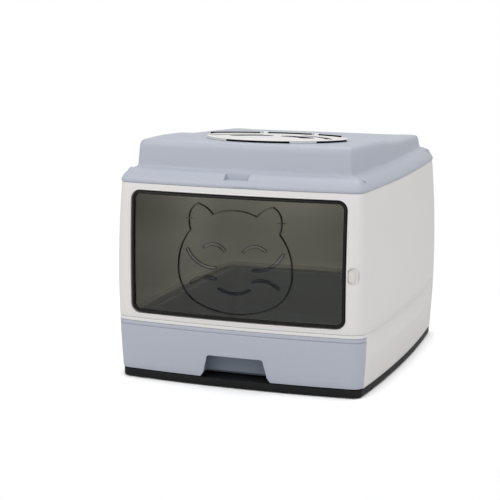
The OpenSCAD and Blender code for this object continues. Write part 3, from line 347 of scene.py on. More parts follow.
# %% Node helpers
def place(tree, kind, x, y, **values):
    """Adds a node at a place, and sets its own properties or its inputs by name."""
    node = tree.nodes.new(kind)
    node.location = (x, y)
    for key, value in values.items():
        if hasattr(node, key):
            setattr(node, key, value)
        else:
            node.inputs[key.replace("_", " ")].default_value = value
    return node


def wire(tree, *runs):
    """Links nodes. Each run is a node, its output, the next node and its input."""
    for source, output, target, into in runs:
        tree.links.new(source.outputs[output], target.inputs[into])


print("node helpers", place.__name__, wire.__name__)

# %% [markdown]
# ## How moulded plastic looks
#
# The shells are satin polypropylene with a fine spark-eroded grain. Such a surface has almost no colour variation:
# it shows in the softness of its highlights and in a faint unevenness where the melt flowed. One shared group makes
# the grain and the flow marks, and each material mixes them in its own measure.

# %% The shared grain group
GRAIN_INPUTS = (("Grain Scale", "NodeSocketFloat", 1400.0), ("Flow Scale", "NodeSocketFloat", 9.0),
                ("Colour", "NodeSocketColor", (0.8, 0.8, 0.8, 1)), ("Variation", "NodeSocketFloat", 0.03),
                ("Roughness", "NodeSocketFloat", 0.42), ("Roughness Spread", "NodeSocketFloat", 0.08),
                ("Bump Height", "NodeSocketFloat", 0.00002))
GRAIN_OUTPUTS = (("Colour", "NodeSocketColor"), ("Roughness", "NodeSocketFloat"), ("Normal", "NodeSocketVector"))


def make_grain_group():
    group = bpy.data.node_groups.new("Moulded grain", "ShaderNodeTree")
    for label, kind, value in GRAIN_INPUTS:
        group.interface.new_socket(label, in_out="INPUT", socket_type=kind).default_value = value
    for label, kind in GRAIN_OUTPUTS:
        group.interface.new_socket(label, in_out="OUTPUT", socket_type=kind)
    start, end = place(group, "NodeGroupInput", -900, 0), place(group, "NodeGroupOutput", 700, 0)
    coords = place(group, "ShaderNodeTexCoord", -900, -300)
    grain = place(group, "ShaderNodeTexNoise", -600, -300, Detail=3.0, Roughness=0.6)
    flow = place(group, "ShaderNodeTexNoise", -600, 100, Detail=4.0, Roughness=0.55)
    centred = place(group, "ShaderNodeMath", -350, 150, operation="SUBTRACT")
    amount = place(group, "ShaderNodeMath", -150, 200, operation="MULTIPLY_ADD")
    tint = place(group, "ShaderNodeVectorMath", 100, 200, operation="SCALE")
    rough = place(group, "ShaderNodeMath", 100, -50, operation="MULTIPLY_ADD")
    bump = place(group, "ShaderNodeBump", 100, -300, Strength=0.6)
    centred.inputs[1].default_value, amount.inputs[2].default_value = 0.5, 1.0
    wire(group, (coords, "Object", grain, "Vector"), (coords, "Object", flow, "Vector"),
         (start, "Grain Scale", grain, "Scale"), (start, "Flow Scale", flow, "Scale"), (flow, "Fac", centred, 0))
    wire(group, (centred, 0, amount, 0), (start, "Variation", amount, 1), (start, "Colour", tint, 0),
         (amount, 0, tint, "Scale"), (tint, 0, end, "Colour"))
    wire(group, (centred, 0, rough, 0), (start, "Roughness Spread", rough, 1), (start, "Roughness", rough, 2),
         (rough, 0, end, "Roughness"))
    wire(group, (grain, "Fac", bump, "Height"), (start, "Bump Height", bump, "Distance"),
         (bump, "Normal", end, "Normal"))
    return group


grain_group = make_grain_group()
print("grain group nodes", len(grain_group.nodes))

# %% [markdown]
# ## Plastic, rubber, steel and foam
#
# All the solid materials are one recipe with other numbers, so a change to the recipe reaches all of them. The white
# and the blue-grey mouldings share their gloss, and the black ones mirror little. The rubber, the foam and the matt
# black of the hatch are the roughest, and the pins and screws are the only metal.

# %% Solid materials
def solid(name, colour, rough=0.42, variation=0.03, bump=0.00002, grain=1400.0, spread=0.08, metallic=0.0,
          specular=0.5):
    material = bpy.data.materials.new(name)
    material.use_nodes = True
    material.diffuse_color = (*colour, 1)
    tree = material.node_tree
    shader = tree.nodes["Principled BSDF"]
    shader.inputs["Metallic"].default_value = metallic
    shader.inputs["Specular IOR Level"].default_value = specular
    group = place(tree, "ShaderNodeGroup", -300, 200, node_tree=grain_group)
    for label, value in (("Grain Scale", grain), ("Colour", (*colour, 1)), ("Variation", variation),
                         ("Roughness", rough), ("Roughness Spread", spread), ("Bump Height", bump)):
        group.inputs[label].default_value = value
    wire(tree, (group, "Colour", shader, "Base Color"), (group, "Roughness", shader, "Roughness"),
         (group, "Normal", shader, "Normal"))
    return material


white = solid("white_shell", (0.80, 0.785, 0.775))
cream = solid("cream_knob", (0.78, 0.76, 0.725), rough=0.4)
white_trim = solid("white_trim", (0.82, 0.805, 0.795), rough=0.35)
blue = solid("blue_grey_lid", (0.47, 0.50, 0.575))
blue_drawer = solid("blue_grey_drawer", (0.47, 0.50, 0.575), rough=0.4)
# A darker copy of the blue-grey. It is simply darker than the drawer front on the pan and the latch plate, and on
# the handle cup it is painted shade for the shade deep inside the notch.
darker_blue_and_shade = solid("darker_blue_grey_and_painted_shade", (0.20, 0.232, 0.29), rough=0.5)
black_plastic = solid("black_base", (0.010, 0.010, 0.011), rough=0.5, specular=0.2)
black_frame = solid("black_door_edge", (0.008, 0.008, 0.008), rough=0.33, specular=0.2)
matte_black = solid("matte_black", (0.010, 0.010, 0.011), rough=0.85, specular=0.05, grain=900, bump=0.00004)
# Near-black for the cut edges of the clear sheets: painted shade for the dark outline that a cut edge shows, since
# little light comes along the sheet.
edge_painted_shade = solid("smoked_edge_painted_shade", (0.008, 0.008, 0.007), rough=0.25, spread=0.05, bump=0.000004, specular=0.12)
rubber = solid("rubber_foot", (0.018, 0.018, 0.018), rough=0.7, bump=0.00005, grain=700)
steel = solid("steel_pin", (0.55, 0.56, 0.58), rough=0.28, metallic=1.0, grain=2200)
dark_steel = solid("dark_steel_pin", (0.26, 0.26, 0.26), rough=0.5, metallic=1.0, grain=2200)
foam = solid("carbon_foam", (0.008, 0.008, 0.009), rough=0.9, bump=0.0006, grain=320, variation=0.3)
print("solid materials", len(bpy.data.materials))

# %% [markdown]
# ## Smoked clear plastic
#
# The door pane and the flap are tinted acrylic, 3 mm thick. Glass that bends light would work too, but so thin a
# sheet hardly shifts what lies behind it. A plain transparent shader is cleaner and keeps the cabin readable. Each
# face lets four fifths of the light pass and a little less of the blue, and a Fresnel mix lays the gloss on top.

# %% Smoked material
SMOKE_TINT, SMOKE_IOR = (0.80, 0.795, 0.735), 1.38


def smoked(name):
    material = bpy.data.materials.new(name)
    material.use_nodes = True
    material.diffuse_color = (*SMOKE_TINT, 0.6)
    tree = material.node_tree
    tree.nodes.remove(tree.nodes["Principled BSDF"])
    group = place(tree, "ShaderNodeGroup", -600, 0, node_tree=grain_group)
    for label, value in (("Roughness", 0.06), ("Roughness Spread", 0.03), ("Bump Height", 0.000002)):
        group.inputs[label].default_value = value
    clear = place(tree, "ShaderNodeBsdfTransparent", -300, 100, Color=(*SMOKE_TINT, 1))
    gloss = place(tree, "ShaderNodeBsdfGlossy", -300, -100, Color=(1, 1, 1, 1))
    fresnel = place(tree, "ShaderNodeFresnel", -300, 300, IOR=SMOKE_IOR)
    mix = place(tree, "ShaderNodeMixShader", 0, 100)
    wire(tree, (group, "Roughness", gloss, "Roughness"), (group, "Normal", gloss, "Normal"),
         (fresnel, 0, mix, 0), (clear, 0, mix, 1), (gloss, 0, mix, 2),
         (mix, 0, tree.nodes["Material Output"], "Surface"))
    return material


smoke, smoke_flap = smoked("smoked_pane"), smoked("smoked_flap")
print("smoked materials", smoke.name, smoke_flap.name)

# %% [markdown]
# ## The openings in the front
#
# The door fills nearly the whole front, in an opening with rounded corners. To its right lies an oval recess for
# the latch. Both are paths in X and Z. The opening's path can grow, because the bead, the door's edge and the pane
# all run beside it, and its long sides have many points, so that they can follow the bow of the front.

# %% Door opening and latch recess
DOOR_HALF, DOOR_LOW, DOOR_HIGH, DOOR_R = 193.0, 118.4, 332.6, 17.0
DOOR_SIDE_STEPS, DOOR_TOP_STEPS, DOOR_CORNER_STEPS = 16, 28, 12
LATCH_X, LATCH_Z, RECESS_HALF, RECESS_TALL, RECESS_STEPS = 204.6, 208.5, 9.6, 15.0, 14
QUARTER = math.pi / 2


def door_path(grow=0.0):
    cx, r = DOOR_HALF - DOOR_R, DOOR_R + grow
    low, high = DOOR_LOW + DOOR_R, DOOR_HIGH - DOOR_R
    path = []
    for k, (x, z), end, steps in ((-1, (cx, low), (cx + r, high), DOOR_SIDE_STEPS),
                                  (0, (cx, high), (-cx, high + r), DOOR_TOP_STEPS),
                                  (1, (-cx, high), (-cx - r, low), DOOR_SIDE_STEPS),
                                  (2, (-cx, low), (cx, low - r), DOOR_TOP_STEPS)):
        path += arc(Vector((x, z)), r, k * QUARTER, (k + 1) * QUARTER, DOOR_CORNER_STEPS)
        start = path[-1]
        path += [start.lerp(Vector(end), i / steps) for i in range(1, steps)]
    return path


def oval(cx, cz, half, tall):
    top = arc(Vector((cx, cz + tall - half)), half, 0, math.pi, RECESS_STEPS)
    return top + arc(Vector((cx, cz - tall + half)), half, math.pi, 2 * math.pi, RECESS_STEPS)


print("door opening points", len(door_path()))

# %% [markdown]
# ## The upper shell
#
# The upper shell is one tall white moulding: four walls, a ledge inside its foot, and the large door opening in
# front. It is a closed loft that goes up the outside, over the rim, down the inside and along the ledge. The door
# opening and the latch recess are cut through it afterwards, the way a mould has separate slides for them.

# %% Upper shell
WALL, LEDGE_IN, EDGE_ROUND, SPLIT_Z, SEAM_GAP = 3.0, 12, 1.2, 110.0, 0.4
SHELL_LEVELS, FIRST_LEVEL, LEVEL_STEP = 18, 12, 12.3


def rounded_levels(levels):
    """Heights and offsets up an outer wall, with a small round at each end."""
    low, high, r = levels[0], levels[-1], EDGE_ROUND
    curve = [(low, out_at(low) - r), (low + 0.3 * r, out_at(low) - 0.3 * r)]
    curve += [(z, out_at(z)) for z in [low + r] + levels[1:-1] + [high - r]]
    curve += [(high - 0.3 * r, out_at(high) - 0.3 * r), (high, out_at(high) - r)]
    return curve


def make_shell():
    between = [SPLIT_Z + FIRST_LEVEL + LEVEL_STEP * i for i in range(SHELL_LEVELS)]
    outer = rounded_levels([SPLIT_Z] + between + [SEAM_Z])
    inner = [(z, out_at(z) - WALL) for z in [SEAM_Z, 330, 300, 270, 240, 210, 180, 150, 130, SPLIT_Z + 3]]
    ledge = [(z, out_at(SPLIT_Z) - LEDGE_IN) for z in (SPLIT_Z + 3, SPLIT_Z)]
    loops = [at_height(outline(off), z) for z, off in outer + inner + ledge]
    obj = as_object(loft(loops, closed=True), "upper_shell_skin")
    for opening in (door_path(), oval(LATCH_X, LATCH_Z, RECESS_HALF, RECESS_TALL)):
        combine(obj, punch(opening))
    return obj


shell = finish_piece(make_shell(), "cabinet", white, round_to=0.9)

# %% [markdown]
# ## The bead round the door opening
#
# A thin raised bead runs round the opening. It stiffens the edge of the large hole, hides the joint between door
# and shell, and catches the light as a bright line. A curve with a bevel could draw it, but a loft of the same door
# path keeps it exactly on the bowed front. Each pair is a growth of the path and a depth into the wall.

# %% Door bead
BEAD = ((0.1, 1.0), (0.1, -0.1), (0.35, -0.55), (0.9, -0.8), (1.5, -0.75), (2.1, -0.4), (2.5, 0.1), (2.5, 1.0))


def door_ring(section):
    """A ring with this section, laid along the door opening."""
    return loft([[(p.x, front_y(p.x, p.y) + deep, p.y) for p in door_path(grow)] for grow, deep in section],
                closed=True)


finish_piece(as_object(door_ring(BEAD), "door_bead"), "cabinet", white, angle=60)

# %% [markdown]
# ## A hinge barrel
#
# The lid turns on two steel pins at the rear, each in three barrels: one on the lid between two on the shell. A
# barrel is a short tube with softened rims. It could be a cylinder with a hole cut through it, but spinning its
# section round the pin's axis gives the rims and the bore in one step.

# %% Hinge barrel
HINGE_X, HINGE_HALF, BARREL_R, LID_PIN_R, RIM = 180.0, 20.0, 6.0, 2.0, 0.4
HINGE_Y = end_edge(True, HINGE_X - HINGE_HALF) + BARREL_R + 2.4
HINGE_Z = SEAM_Z + 4
LEAF_HALF, LEAF_PLAY, BARREL_SEGMENTS, NO_BORE = HINGE_HALF - 11, 0.4, 40, 0.01


def barrel(x0, x1, radius, bore):
    bm = bmesh.new()
    section = [(x0, bore), (x1, bore), (x1, radius - RIM), (x1 - RIM, radius), (x0 + RIM, radius),
               (x0, radius - RIM)]
    ring = add_ring(bm, [(x, HINGE_Y + r, HINGE_Z) for x, r in section])
    bmesh.ops.spin(bm, geom=bm.verts[:] + ring, cent=Vector((0, HINGE_Y, HINGE_Z)) * MM, axis=(1, 0, 0),
                   angle=2 * math.pi, steps=BARREL_SEGMENTS, use_merge=True)
    bmesh.ops.remove_doubles(bm, verts=bm.verts, dist=1e-7)
    bmesh.ops.recalc_face_normals(bm, faces=bm.faces)
    return bm


print("lid hinge axis at", round(HINGE_Y, 2), HINGE_Z)

# %% [markdown]
# ## The lid's hinge knuckles on the shell
#
# Four white knuckles stand out at the rear of the shell, two for each hinge. They are moulded with the shell: a
# barrel on a bracket that grows out of the wall. The bracket is cut to the barrel's round, so the two meet without
# a gap, and it is no wider than the barrel, so the lid's own barrel turns freely beside it.

# %% Shell knuckles
EAR_W = HINGE_HALF - LEAF_HALF - LEAF_PLAY
BRACKET_H, BRACKET_REAR, SEAT_DEEP = 22, 3, 0.5
ROOTS = {1: -0.5, -1: 1.3}


def make_bracket(x0, x1, root):
    rear = HINGE_Y + BRACKET_REAR
    foot = as_object(block((x0, root, SEAM_Z - BRACKET_H), (x1, rear, SEAM_Z - SEAM_GAP)), "foot")
    combine(foot, block((x0, HINGE_Y - BARREL_R, SEAM_Z - BRACKET_H), (x1, rear, HINGE_Z)), "UNION")
    combine(foot, barrel(x0 - 2, x1 + 2, BARREL_R - SEAT_DEEP, NO_BORE))
    bm = bmesh.new()
    bm.from_mesh(foot.data)
    bpy.data.objects.remove(foot)
    return bm


def make_knuckles():
    parts = []
    for side in (-1, 1):
        for end in (-1, 1):
            mid = side * (HINGE_X + end * (HINGE_HALF + LEAF_HALF + LEAF_PLAY) / 2)
            x0, x1 = mid - EAR_W / 2, mid + EAR_W / 2
            parts.append(barrel(x0, x1, BARREL_R, LID_PIN_R + 0.05))
            parts.append(make_bracket(x0, x1, end_edge(True, HINGE_X) - WALL + ROOTS[end]))
    return as_object(merged(parts), "shell_knuckles")


finish_piece(make_knuckles(), "cabinet", white)
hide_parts("upper_shell")

# %% [markdown]
# ## The side grip
#
# On each side the housing under the shell dives in as a long wedge, deepest at the seam, so that hands find a grip
# to carry the box. The wedge could be cut out, but bending the outline inward keeps the wall equally thick. It
# starts sharply behind the front corner and runs out softly towards the rear.

# %% Grip
GRIP_DEEP, GRIP_Z, GRIP_REAR, GRIP_RUNOUT, GRIP_START = 6.0, 68.0, 132.0, 70.0, 12
GRIP_FRONT = -BODY_D / 2 + CORNER_FRONT + 12


def grip_at(x, y, z):
    """How far the wall dives in at a point."""
    if abs(x) < BODY_W / 2 - CORNER_FRONT:
        return 0.0
    rise = max(0.0, (z - GRIP_Z) / (SPLIT_Z - GRIP_Z))
    start = min(1.0, max(0.0, (y - GRIP_FRONT) / GRIP_START))
    end = 1 - min(1.0, max(0.0, (y - GRIP_REAR) / GRIP_RUNOUT))
    return GRIP_DEEP * rise * start * end


def housing_loop(off, z):
    return [Vector((p.x - math.copysign(grip_at(p.x, p.y, z), p.x), p.y, z)) for p in outline(off)]


print("grip depth at mid side", round(grip_at(BODY_W / 2, 0, SPLIT_Z), 2))

# %% [markdown]
# ## The lower housing
#
# The lower housing carries the shell and guides the drawer. It is lofted like the shell, with close levels where
# the grip begins, and a narrow ledge on top for the shell to stand on. One block then takes away its front up to
# the drawer's top, and leaves a thin rail above the drawer.

# %% Lower housing
DRAWER_TOP, BASE_TOP = 104.2, 15.2
HOUSING_LEVELS = [22, 32, 44, 56, 64, 67, 68, 69, 72, 78, 86, 94, 102]
WRAP_Y = corner(False, 0)[3].y + SEAM_GAP


def make_housing():
    foot, top = BASE_TOP + SEAM_GAP / 2, SPLIT_Z - SEAM_GAP
    outer = rounded_levels([foot] + HOUSING_LEVELS + [top])
    inner = [(top, out_at(SPLIT_Z) - LEDGE_IN), (DRAWER_TOP, out_at(DRAWER_TOP) - LEDGE_IN),
             (DRAWER_TOP - 0.5, out_at(DRAWER_TOP) - WALL)]
    inner += [(z, out_at(z) - WALL) for z in (88, GRIP_Z, 50, 30, foot)]
    obj = as_object(loft([housing_loop(off, z) for z, off in outer + inner], closed=True), "lower_housing_skin")
    combine(obj, block((-BODY_W, -330, 0), (BODY_W, WRAP_Y, DRAWER_TOP)))
    return obj


finish_piece(make_housing(), "cabinet", white, ["lower_housing"], round_to=0.5, angle=24)

# %% [markdown]
# ## The black base
#
# The box stands on a low black tray, turned upside down, so scuffs along the floor don't show on the white walls.
# Its skirt follows the walls' outline and has a soft upper edge. The loft starts under the ceiling of the tray, goes
# down inside the skirt and up outside it, and ends in the flat top.

# %% Base tray
SKIRT = ((2.0, 0.2), (2.3, 0.6), (3.0, 1.1), (6.0, 1.15), (BASE_TOP - 1.2, 1.1), (BASE_TOP - 0.35, 0.75),
         (BASE_TOP, 0.1))


def make_base():
    inner = ((BASE_TOP - 3, SKIRT[2][1] - WALL), (SKIRT[0][0], SKIRT[0][1] - WALL))
    return as_object(loft([at_height(outline(off), z) for z, off in inner + SKIRT]), "base_tray_skin")


finish_piece(make_base(), "cabinet", black_plastic, ["base_tray"], angle=40)

# %% [markdown]
# ## The drawer front's shape
#
# The drawer front wraps both front corners, so its plan is the front part of the same outline. The handle notch is
# cut up from below, with rounded upper corners and sides that flare out to the foot, and fingers reach up through
# it. Bosses inside the front take the screws that hold it to the pan.

# %% Drawer front's outlines
DRAWER_BOTTOM = 17.0
NOTCH_HALF, NOTCH_TOP, NOTCH_R = 51.5, 56.0, 6.0
NOTCH_FLARE = ((6.2, 8.4), (7.6, 6), (11.0, 1.5), (13, -1))
PAN_FRONT, PAN_TOP, PAN_BOTTOM = WRAP_Y + 3, DRAWER_TOP - 1, DRAWER_BOTTOM + 1.7
BOSS_R, SCREW_R, SCREW_X = 4.5, 1.8, 120.0
SCREWS = [(x, z) for x in (-SCREW_X, SCREW_X) for z in (PAN_BOTTOM + 24, PAN_TOP - 20)]


def wrap(off):
    half = half_outline(off)[:EDGE_STEPS + CORNER_STEPS + 1]
    return [Vector((-p.x, p.y)) for p in half[:0:-1]] + half


def notch():
    right = arc(Vector((NOTCH_HALF - NOTCH_R, NOTCH_TOP - NOTCH_R)), NOTCH_R, QUARTER, 0, 8)
    right += [Vector((NOTCH_HALF + out, DRAWER_BOTTOM + up)) for out, up in NOTCH_FLARE]
    return right + [Vector((-p.x, p.y)) for p in reversed(right)]


print("handle notch is", 2 * NOTCH_HALF, "mm wide, screws", len(SCREWS))

# %% [markdown]
# ## The drawer front
#
# A thin line under the top edge is where the lip of the moulding folds over. The line is part of the loft: a few
# levels step in by 1.5 mm and out again. The loft is a wall 3 mm thick with closed ends, and the bosses, their
# screw holes and the notch follow as booleans.

# %% Drawer front
LINE_Z, LINE_DEEP, FRONT_T = 96.6, 1.5, 3
FRONT_LEVELS = [(DRAWER_BOTTOM, -0.9), (DRAWER_BOTTOM + 0.3, -0.3), (DRAWER_BOTTOM + 1, 0)]
FRONT_LEVELS += [(z, 0) for z in (30, 45, 60, 75, 88, LINE_Z - 1.0)]
FRONT_LEVELS += [(LINE_Z - 0.6, -0.5), (LINE_Z - 0.35, -LINE_DEEP), (LINE_Z + 0.35, -LINE_DEEP),
                 (LINE_Z + 0.6, -0.5), (LINE_Z + 1.0, 0.05), (DRAWER_TOP - 2.2, 0.05),
                 (DRAWER_TOP - 1.2, -0.35), (DRAWER_TOP - 0.7, -1.0), (DRAWER_TOP - 0.5, -1.8)]


def make_drawer_front():
    loops = [at_height(wrap(out_at(z) + inset) + wrap(out_at(z) - FRONT_T)[::-1], z) for z, inset in FRONT_LEVELS]
    obj = as_object(loft(loops), "drawer_front_skin")
    for x, z in SCREWS:
        combine(obj, rod((x, front_y(x, z) + 1.5, z), (x, PAN_FRONT - 0.1, z), BOSS_R), "UNION")
        combine(obj, rod((x, PAN_FRONT - 15, z), (x, PAN_FRONT + 1, z), SCREW_R))
    combine(obj, punch(notch()))
    return obj


finish_piece(make_drawer_front(), "drawer", blue_drawer, ["drawer_front"], round_to=0.6, angle=30)

# %% [markdown]
# ## The drawer pan
#
# The litter lies in a deep pan with a wide flat rim. The rim rides just under the housing's ledge and stiffens the
# long sides, and the walls lean in so that the pan lifts out of its mould. Each step of the loft is an inset from
# the rim's edge, the place of the front wall and a height, and the steps go up the outside and down the inside.

# %% Drawer pan
PAN_HALF, PAN_RIM, PAN_DRAFT, PAN_WALL, PAN_CORNER, PAN_CORNER_FRONT = 206.0, 9.0, 6.0, 2.6, 40.0, 12.0
PAN_REAR = BODY_D / 2 - 8


def pan_loop(inset, front, z):
    w, y1 = PAN_HALF - inset, PAN_REAR - inset
    r, f = max(8.0, PAN_CORNER - inset), PAN_CORNER_FRONT
    points = []
    for k, x, y, radius, steps in ((-1, w - f, front + f, f, 8), (0, w - r, y1 - r, r, 12),
                                   (1, -w + r, y1 - r, r, 12), (2, -w + f, front + f, f, 8)):
        points += arc(Vector((x, y)), radius, k * QUARTER, (k + 1) * QUARTER, steps)
    return at_height(points, z)


def make_pan():
    low, f, t = PAN_RIM + PAN_DRAFT, PAN_FRONT, PAN_WALL
    outside = [(low + 6, f + 2, PAN_BOTTOM), (low + 2.2, f + 0.7, PAN_BOTTOM + 1.4),
               (low + 0.4, f + 0.1, PAN_BOTTOM + 4)]
    rim = [(PAN_RIM + 0.1, f, PAN_TOP - 3.6), (PAN_RIM - 0.6, f - 0.2, PAN_TOP - 3), (0.7, f - 1.8, PAN_TOP - 3),
           (0.1, f - 2, PAN_TOP - 2.2), (0.1, f - 2, PAN_TOP - 0.9), (0.9, f - 1.2, PAN_TOP),
           (PAN_RIM + t - 1.4, f + t - 1.4, PAN_TOP), (PAN_RIM + t, f + t, PAN_TOP - 1.4)]
    inside = [(low + t, f + t, PAN_BOTTOM + 8), (low + t + 1.6, f + t + 0.6, PAN_BOTTOM + t + 1.6),
              (low + 6 + t, f + 2 + t, PAN_BOTTOM + t)]
    obj = as_object(loft([pan_loop(*step) for step in outside + rim + inside]), "drawer_pan_skin")
    for x, z in SCREWS:
        combine(obj, rod((x, PAN_FRONT - 6, z), (x, PAN_FRONT + 8, z), SCREW_R))
    return obj


finish_piece(make_pan(), "drawer", darker_blue_and_shade, ["drawer_pan"], angle=40)

# %% [markdown]
# ## The lid's surfaces
#
# The lid is one blue-grey moulding: a soft sloping shoulder that overhangs the seam, then a raised dome with steep
# walls. The top falls slightly to the rear, and its sides and front stand a little proud round the hatch. The top is
# a height field, so one function says how high it is anywhere, and every loop of the dome takes its heights from it.

# %% Lid surfaces
LID_Z, SHOULDER_H, SHOULDER_W, LID_WALL = SEAM_Z + 0.6, 24.0, 24.0, 2.6
TOP_Z, TOP_FALL, TOP_FLAT, SIDE_RISE, FRONT_RISE = 402.0, 0.049, 141.0, 5.2, 2.6
DOME_FOOT, ROOF_START, ROOF_REACH = LID_Z + SHOULDER_H + 1.4, SHOULDER_W + 13, 180


def ease(a, b, t):
    u = min(1.0, max(0.0, (t - a) / (b - a)))
    return u * u * (3 - 2 * u)


def top_at(x, y):
    side = 1 + (SIDE_RISE - 1) * ease(20, -60, y) - (SIDE_RISE - FRONT_RISE) * ease(-120, -225, y)
    shoulder = ease(TOP_FLAT, TOP_FLAT + 32, abs(x))
    return TOP_Z - TOP_FALL * y + side * shoulder + FRONT_RISE * ease(-190, -228, y) * (1 - shoulder)


def dome_loop(inset, share, drop=0.0):
    """A loop up the dome's wall, which has climbed this share of the way to the top."""
    return [Vector((p.x, p.y, DOME_FOOT + share * (top_at(p.x, p.y) - DOME_FOOT) - drop))
            for p in outline(-inset)]


def roof_loop(inset, drop=0.0):
    """A loop on the top, shrunk towards the middle."""
    shrink = 1 - (inset - ROOF_START) / ROOF_REACH
    places = [(p.x * shrink, p.y * shrink) for p in outline(-ROOF_START)]
    return [Vector((x, y, top_at(x, y) - drop)) for x, y in places]


print("top of the lid at its middle", top_at(0, 0), "and at the front corners", round(top_at(180, -230), 1))

# %% [markdown]
# ## The lid
#
# The loft starts under the roof and goes down inside the dome and the shoulder. It turns round the lip, which drops
# inside the shell to locate the lid, and climbs back outside to the middle of the roof. The inner loops are fewer
# than the outer ones, because nobody sees their curve.

# %% Lid
SHOULDER = ((-0.4, 0), (-0.85, 0.25), (-1.0, 0.8), (-1.1, 2.2), (-0.9, 4.0), (-0.1, 6.2), (1.2, 8.3), (2.7, 10.6),
            (4.5, 13), (6.8, 15.6), (9.5, 18), (12.4, 20.1), (15.5, 21.7), (18.4, 22.9), (21, 23.5), (22.6, 24.2),
            (23.7, 25.6))
DOME = ((24.3, 0.08), (24.8, 0.18), (25.4, 0.34), (26.0, 0.52), (26.6, 0.68), (27.3, 0.8), (28.6, 0.89),
        (30.6, 0.952), (33.2, 0.985), (37, 1.0))
ROOF = (40, 44, 48, 54, 60, 68, 76, 84, 94, 106, 120, 136)
LIP_IN, LIP_T, LIP_DEEP = WALL + SEAM_GAP, 2, 8


def make_lid():
    outer = [at_height(outline(-inset), LID_Z + h) for inset, h in SHOULDER]
    outer += [dome_loop(inset, share) for inset, share in DOME] + [roof_loop(inset) for inset in ROOF]
    inner = [roof_loop(inset, LID_WALL) for inset in (136, 84, 48)]
    inner += [dome_loop(inset + LID_WALL, share, LID_WALL * share) for inset, share in DOME[::-2]]
    inner += [at_height(outline(-inset - LID_WALL), LID_Z + h - LID_WALL * 0.55) for inset, h in SHOULDER[:5:-2]]
    lip = ((LIP_IN + LIP_T, LID_Z + 3), (LIP_IN + LIP_T, LID_Z - LIP_DEEP), (LIP_IN, LID_Z - LIP_DEEP),
           (LIP_IN, LID_Z))
    inner += [at_height(outline(-off), z) for off, z in lip]
    return as_object(loft(inner + outer), "lid_skin")


lid = make_lid()
print("lid skin faces", len(lid.data.polygons))

# %% [markdown]
# ## The lid's finger pocket
#
# The pocket is a step in the shoulder with a flat floor and an upright back, so a finger can hook under the edge
# above it. A bare cut would open the thin wall, so a backing joins the lid first and the pocket is cut into it. A
# shallow notch in the rim below guides the finger, and the lip has a gap for the door's upper hinge socket.

# %% Finger pocket
FRONT_Y = end_edge(False, 0)
POCKET_W, POCKET_Z, POCKET_IN, POCKET_H = 43.0, LID_Z + 11.5, 15.8, 12
POCKET_FLOOR, POCKET_BACK = POCKET_Z - LID_WALL, FRONT_Y + POCKET_IN + LID_WALL
BACKING = ((FRONT_Y + 5, POCKET_FLOOR), (POCKET_BACK, POCKET_FLOOR), (POCKET_BACK, LID_Z + 21),
           (FRONT_Y + POCKET_IN, LID_Z + 20.8), (FRONT_Y + 10.3, POCKET_Z + 5.7), (FRONT_Y + 5.4, POCKET_Z + 0.8))
POCKET = (-POCKET_W / 2, FRONT_Y - 3, POCKET_Z), (POCKET_W / 2, FRONT_Y + POCKET_IN, POCKET_Z + POCKET_H)
RIM_NOTCH = (-1, FRONT_Y - 3, LID_Z - 0.1), (39, FRONT_Y + 0.6, LID_Z + 2.2)
SOCKET_ROOM = (-186, -260, LID_Z - 9), (-166, -238, LID_Z - 1.5)

backing = prism([(-POCKET_W / 2 - LID_WALL, y, z) for y, z in BACKING], (POCKET_W + 2 * LID_WALL, 0, 0))
combine(lid, backing, "UNION")
for room in (POCKET, RIM_NOTCH, SOCKET_ROOM):
    combine(lid, block(*room))
print("lid with its pocket, faces", len(lid.data.polygons))

# %% [markdown]
# ## The hatch hole, the stud bores and the hinge leaves
#
# A large round hole under the hatch lets the filter be changed. It is cut square to the sloping top. Four small
# studs sit square to the shoulder near the corners, and a bore takes each of them. At the rear, two leaves reach
# back from the rim to the pins. Their barrels are a piece of their own, so that they stay crisp.

# %% Hole, bores and leaves
HATCH_Y, HOLE_R, HOLE_SHIFT, HOLE_SEGMENTS = -42, 84.25, -33.75, 128
STUD_X, STUD_Y, STUD_Z = BODY_W / 2 - 6.5, BODY_D / 2 - 30, LID_Z + 17
STUD_R, STUD_PROUD, STUD_ROUND = 4.5, 3.0, 1.6
CORNERS = [(a, b) for a in (-1, 1) for b in (-1, 1)]
slope = math.atan(TOP_FALL)


def on_shoulder(bm, side, end):
    """Puts an upright piece square onto the shoulder, near a corner."""
    return turned(bm, Vector((side, 0, 1)).normalized(), (side * STUD_X, end * STUD_Y, STUD_Z))


hole = rod((0, HOLE_SHIFT, -30), (0, HOLE_SHIFT, 30), HOLE_R, HOLE_SEGMENTS)
combine(lid, turned(hole, (0, math.sin(slope), math.cos(slope)), (0, HATCH_Y, TOP_Z - TOP_FALL * HATCH_Y)))
for side, end in CORNERS:
    combine(lid, on_shoulder(rod((0, 0, -10), (0, 0, 10), STUD_R, 48), side, end))
leaves = [(side * HINGE_X - LEAF_HALF, side * HINGE_X + LEAF_HALF) for side in (-1, 1)]
for x0, x1 in leaves:
    combine(lid, block((x0, HINGE_Y - BARREL_R - 6, HINGE_Z - 2), (x1, HINGE_Y, HINGE_Z + 4)), "UNION")
    combine(lid, barrel(x0 - 1, x1 + 1, BARREL_R - 0.8, NO_BORE))
finish_piece(lid, "lid", blue, ["lid_shell"], round_to=0.5, angle=33)
rolls = [barrel(x0, x1, BARREL_R - SEAT_DEEP, LID_PIN_R) for x0, x1 in leaves]
finish_piece(as_object(merged(rolls), "lid_knuckles"), "lid", blue)

# %% [markdown]
# ## The corner studs
#
# The studs plug the holes in the shoulder, and their heads stand out as small soft buttons. Each is a cylinder with
# its upper rim bevelled. A sphere cut in half would be rounder than the real ones, which are flat on top.

# %% Corner studs
def stud(side, end):
    bm = rod((0, 0, -3.4), (0, 0, STUD_PROUD), STUD_R - 0.05, 48)
    rim = [e for e in bm.edges if all(v.co.z > (STUD_PROUD - 0.01) * MM for v in e.verts)]
    bmesh.ops.bevel(bm, geom=rim, offset=STUD_ROUND * MM, segments=4, profile=0.5, affect="EDGES", material=-1)
    return on_shoulder(bm, side, end)


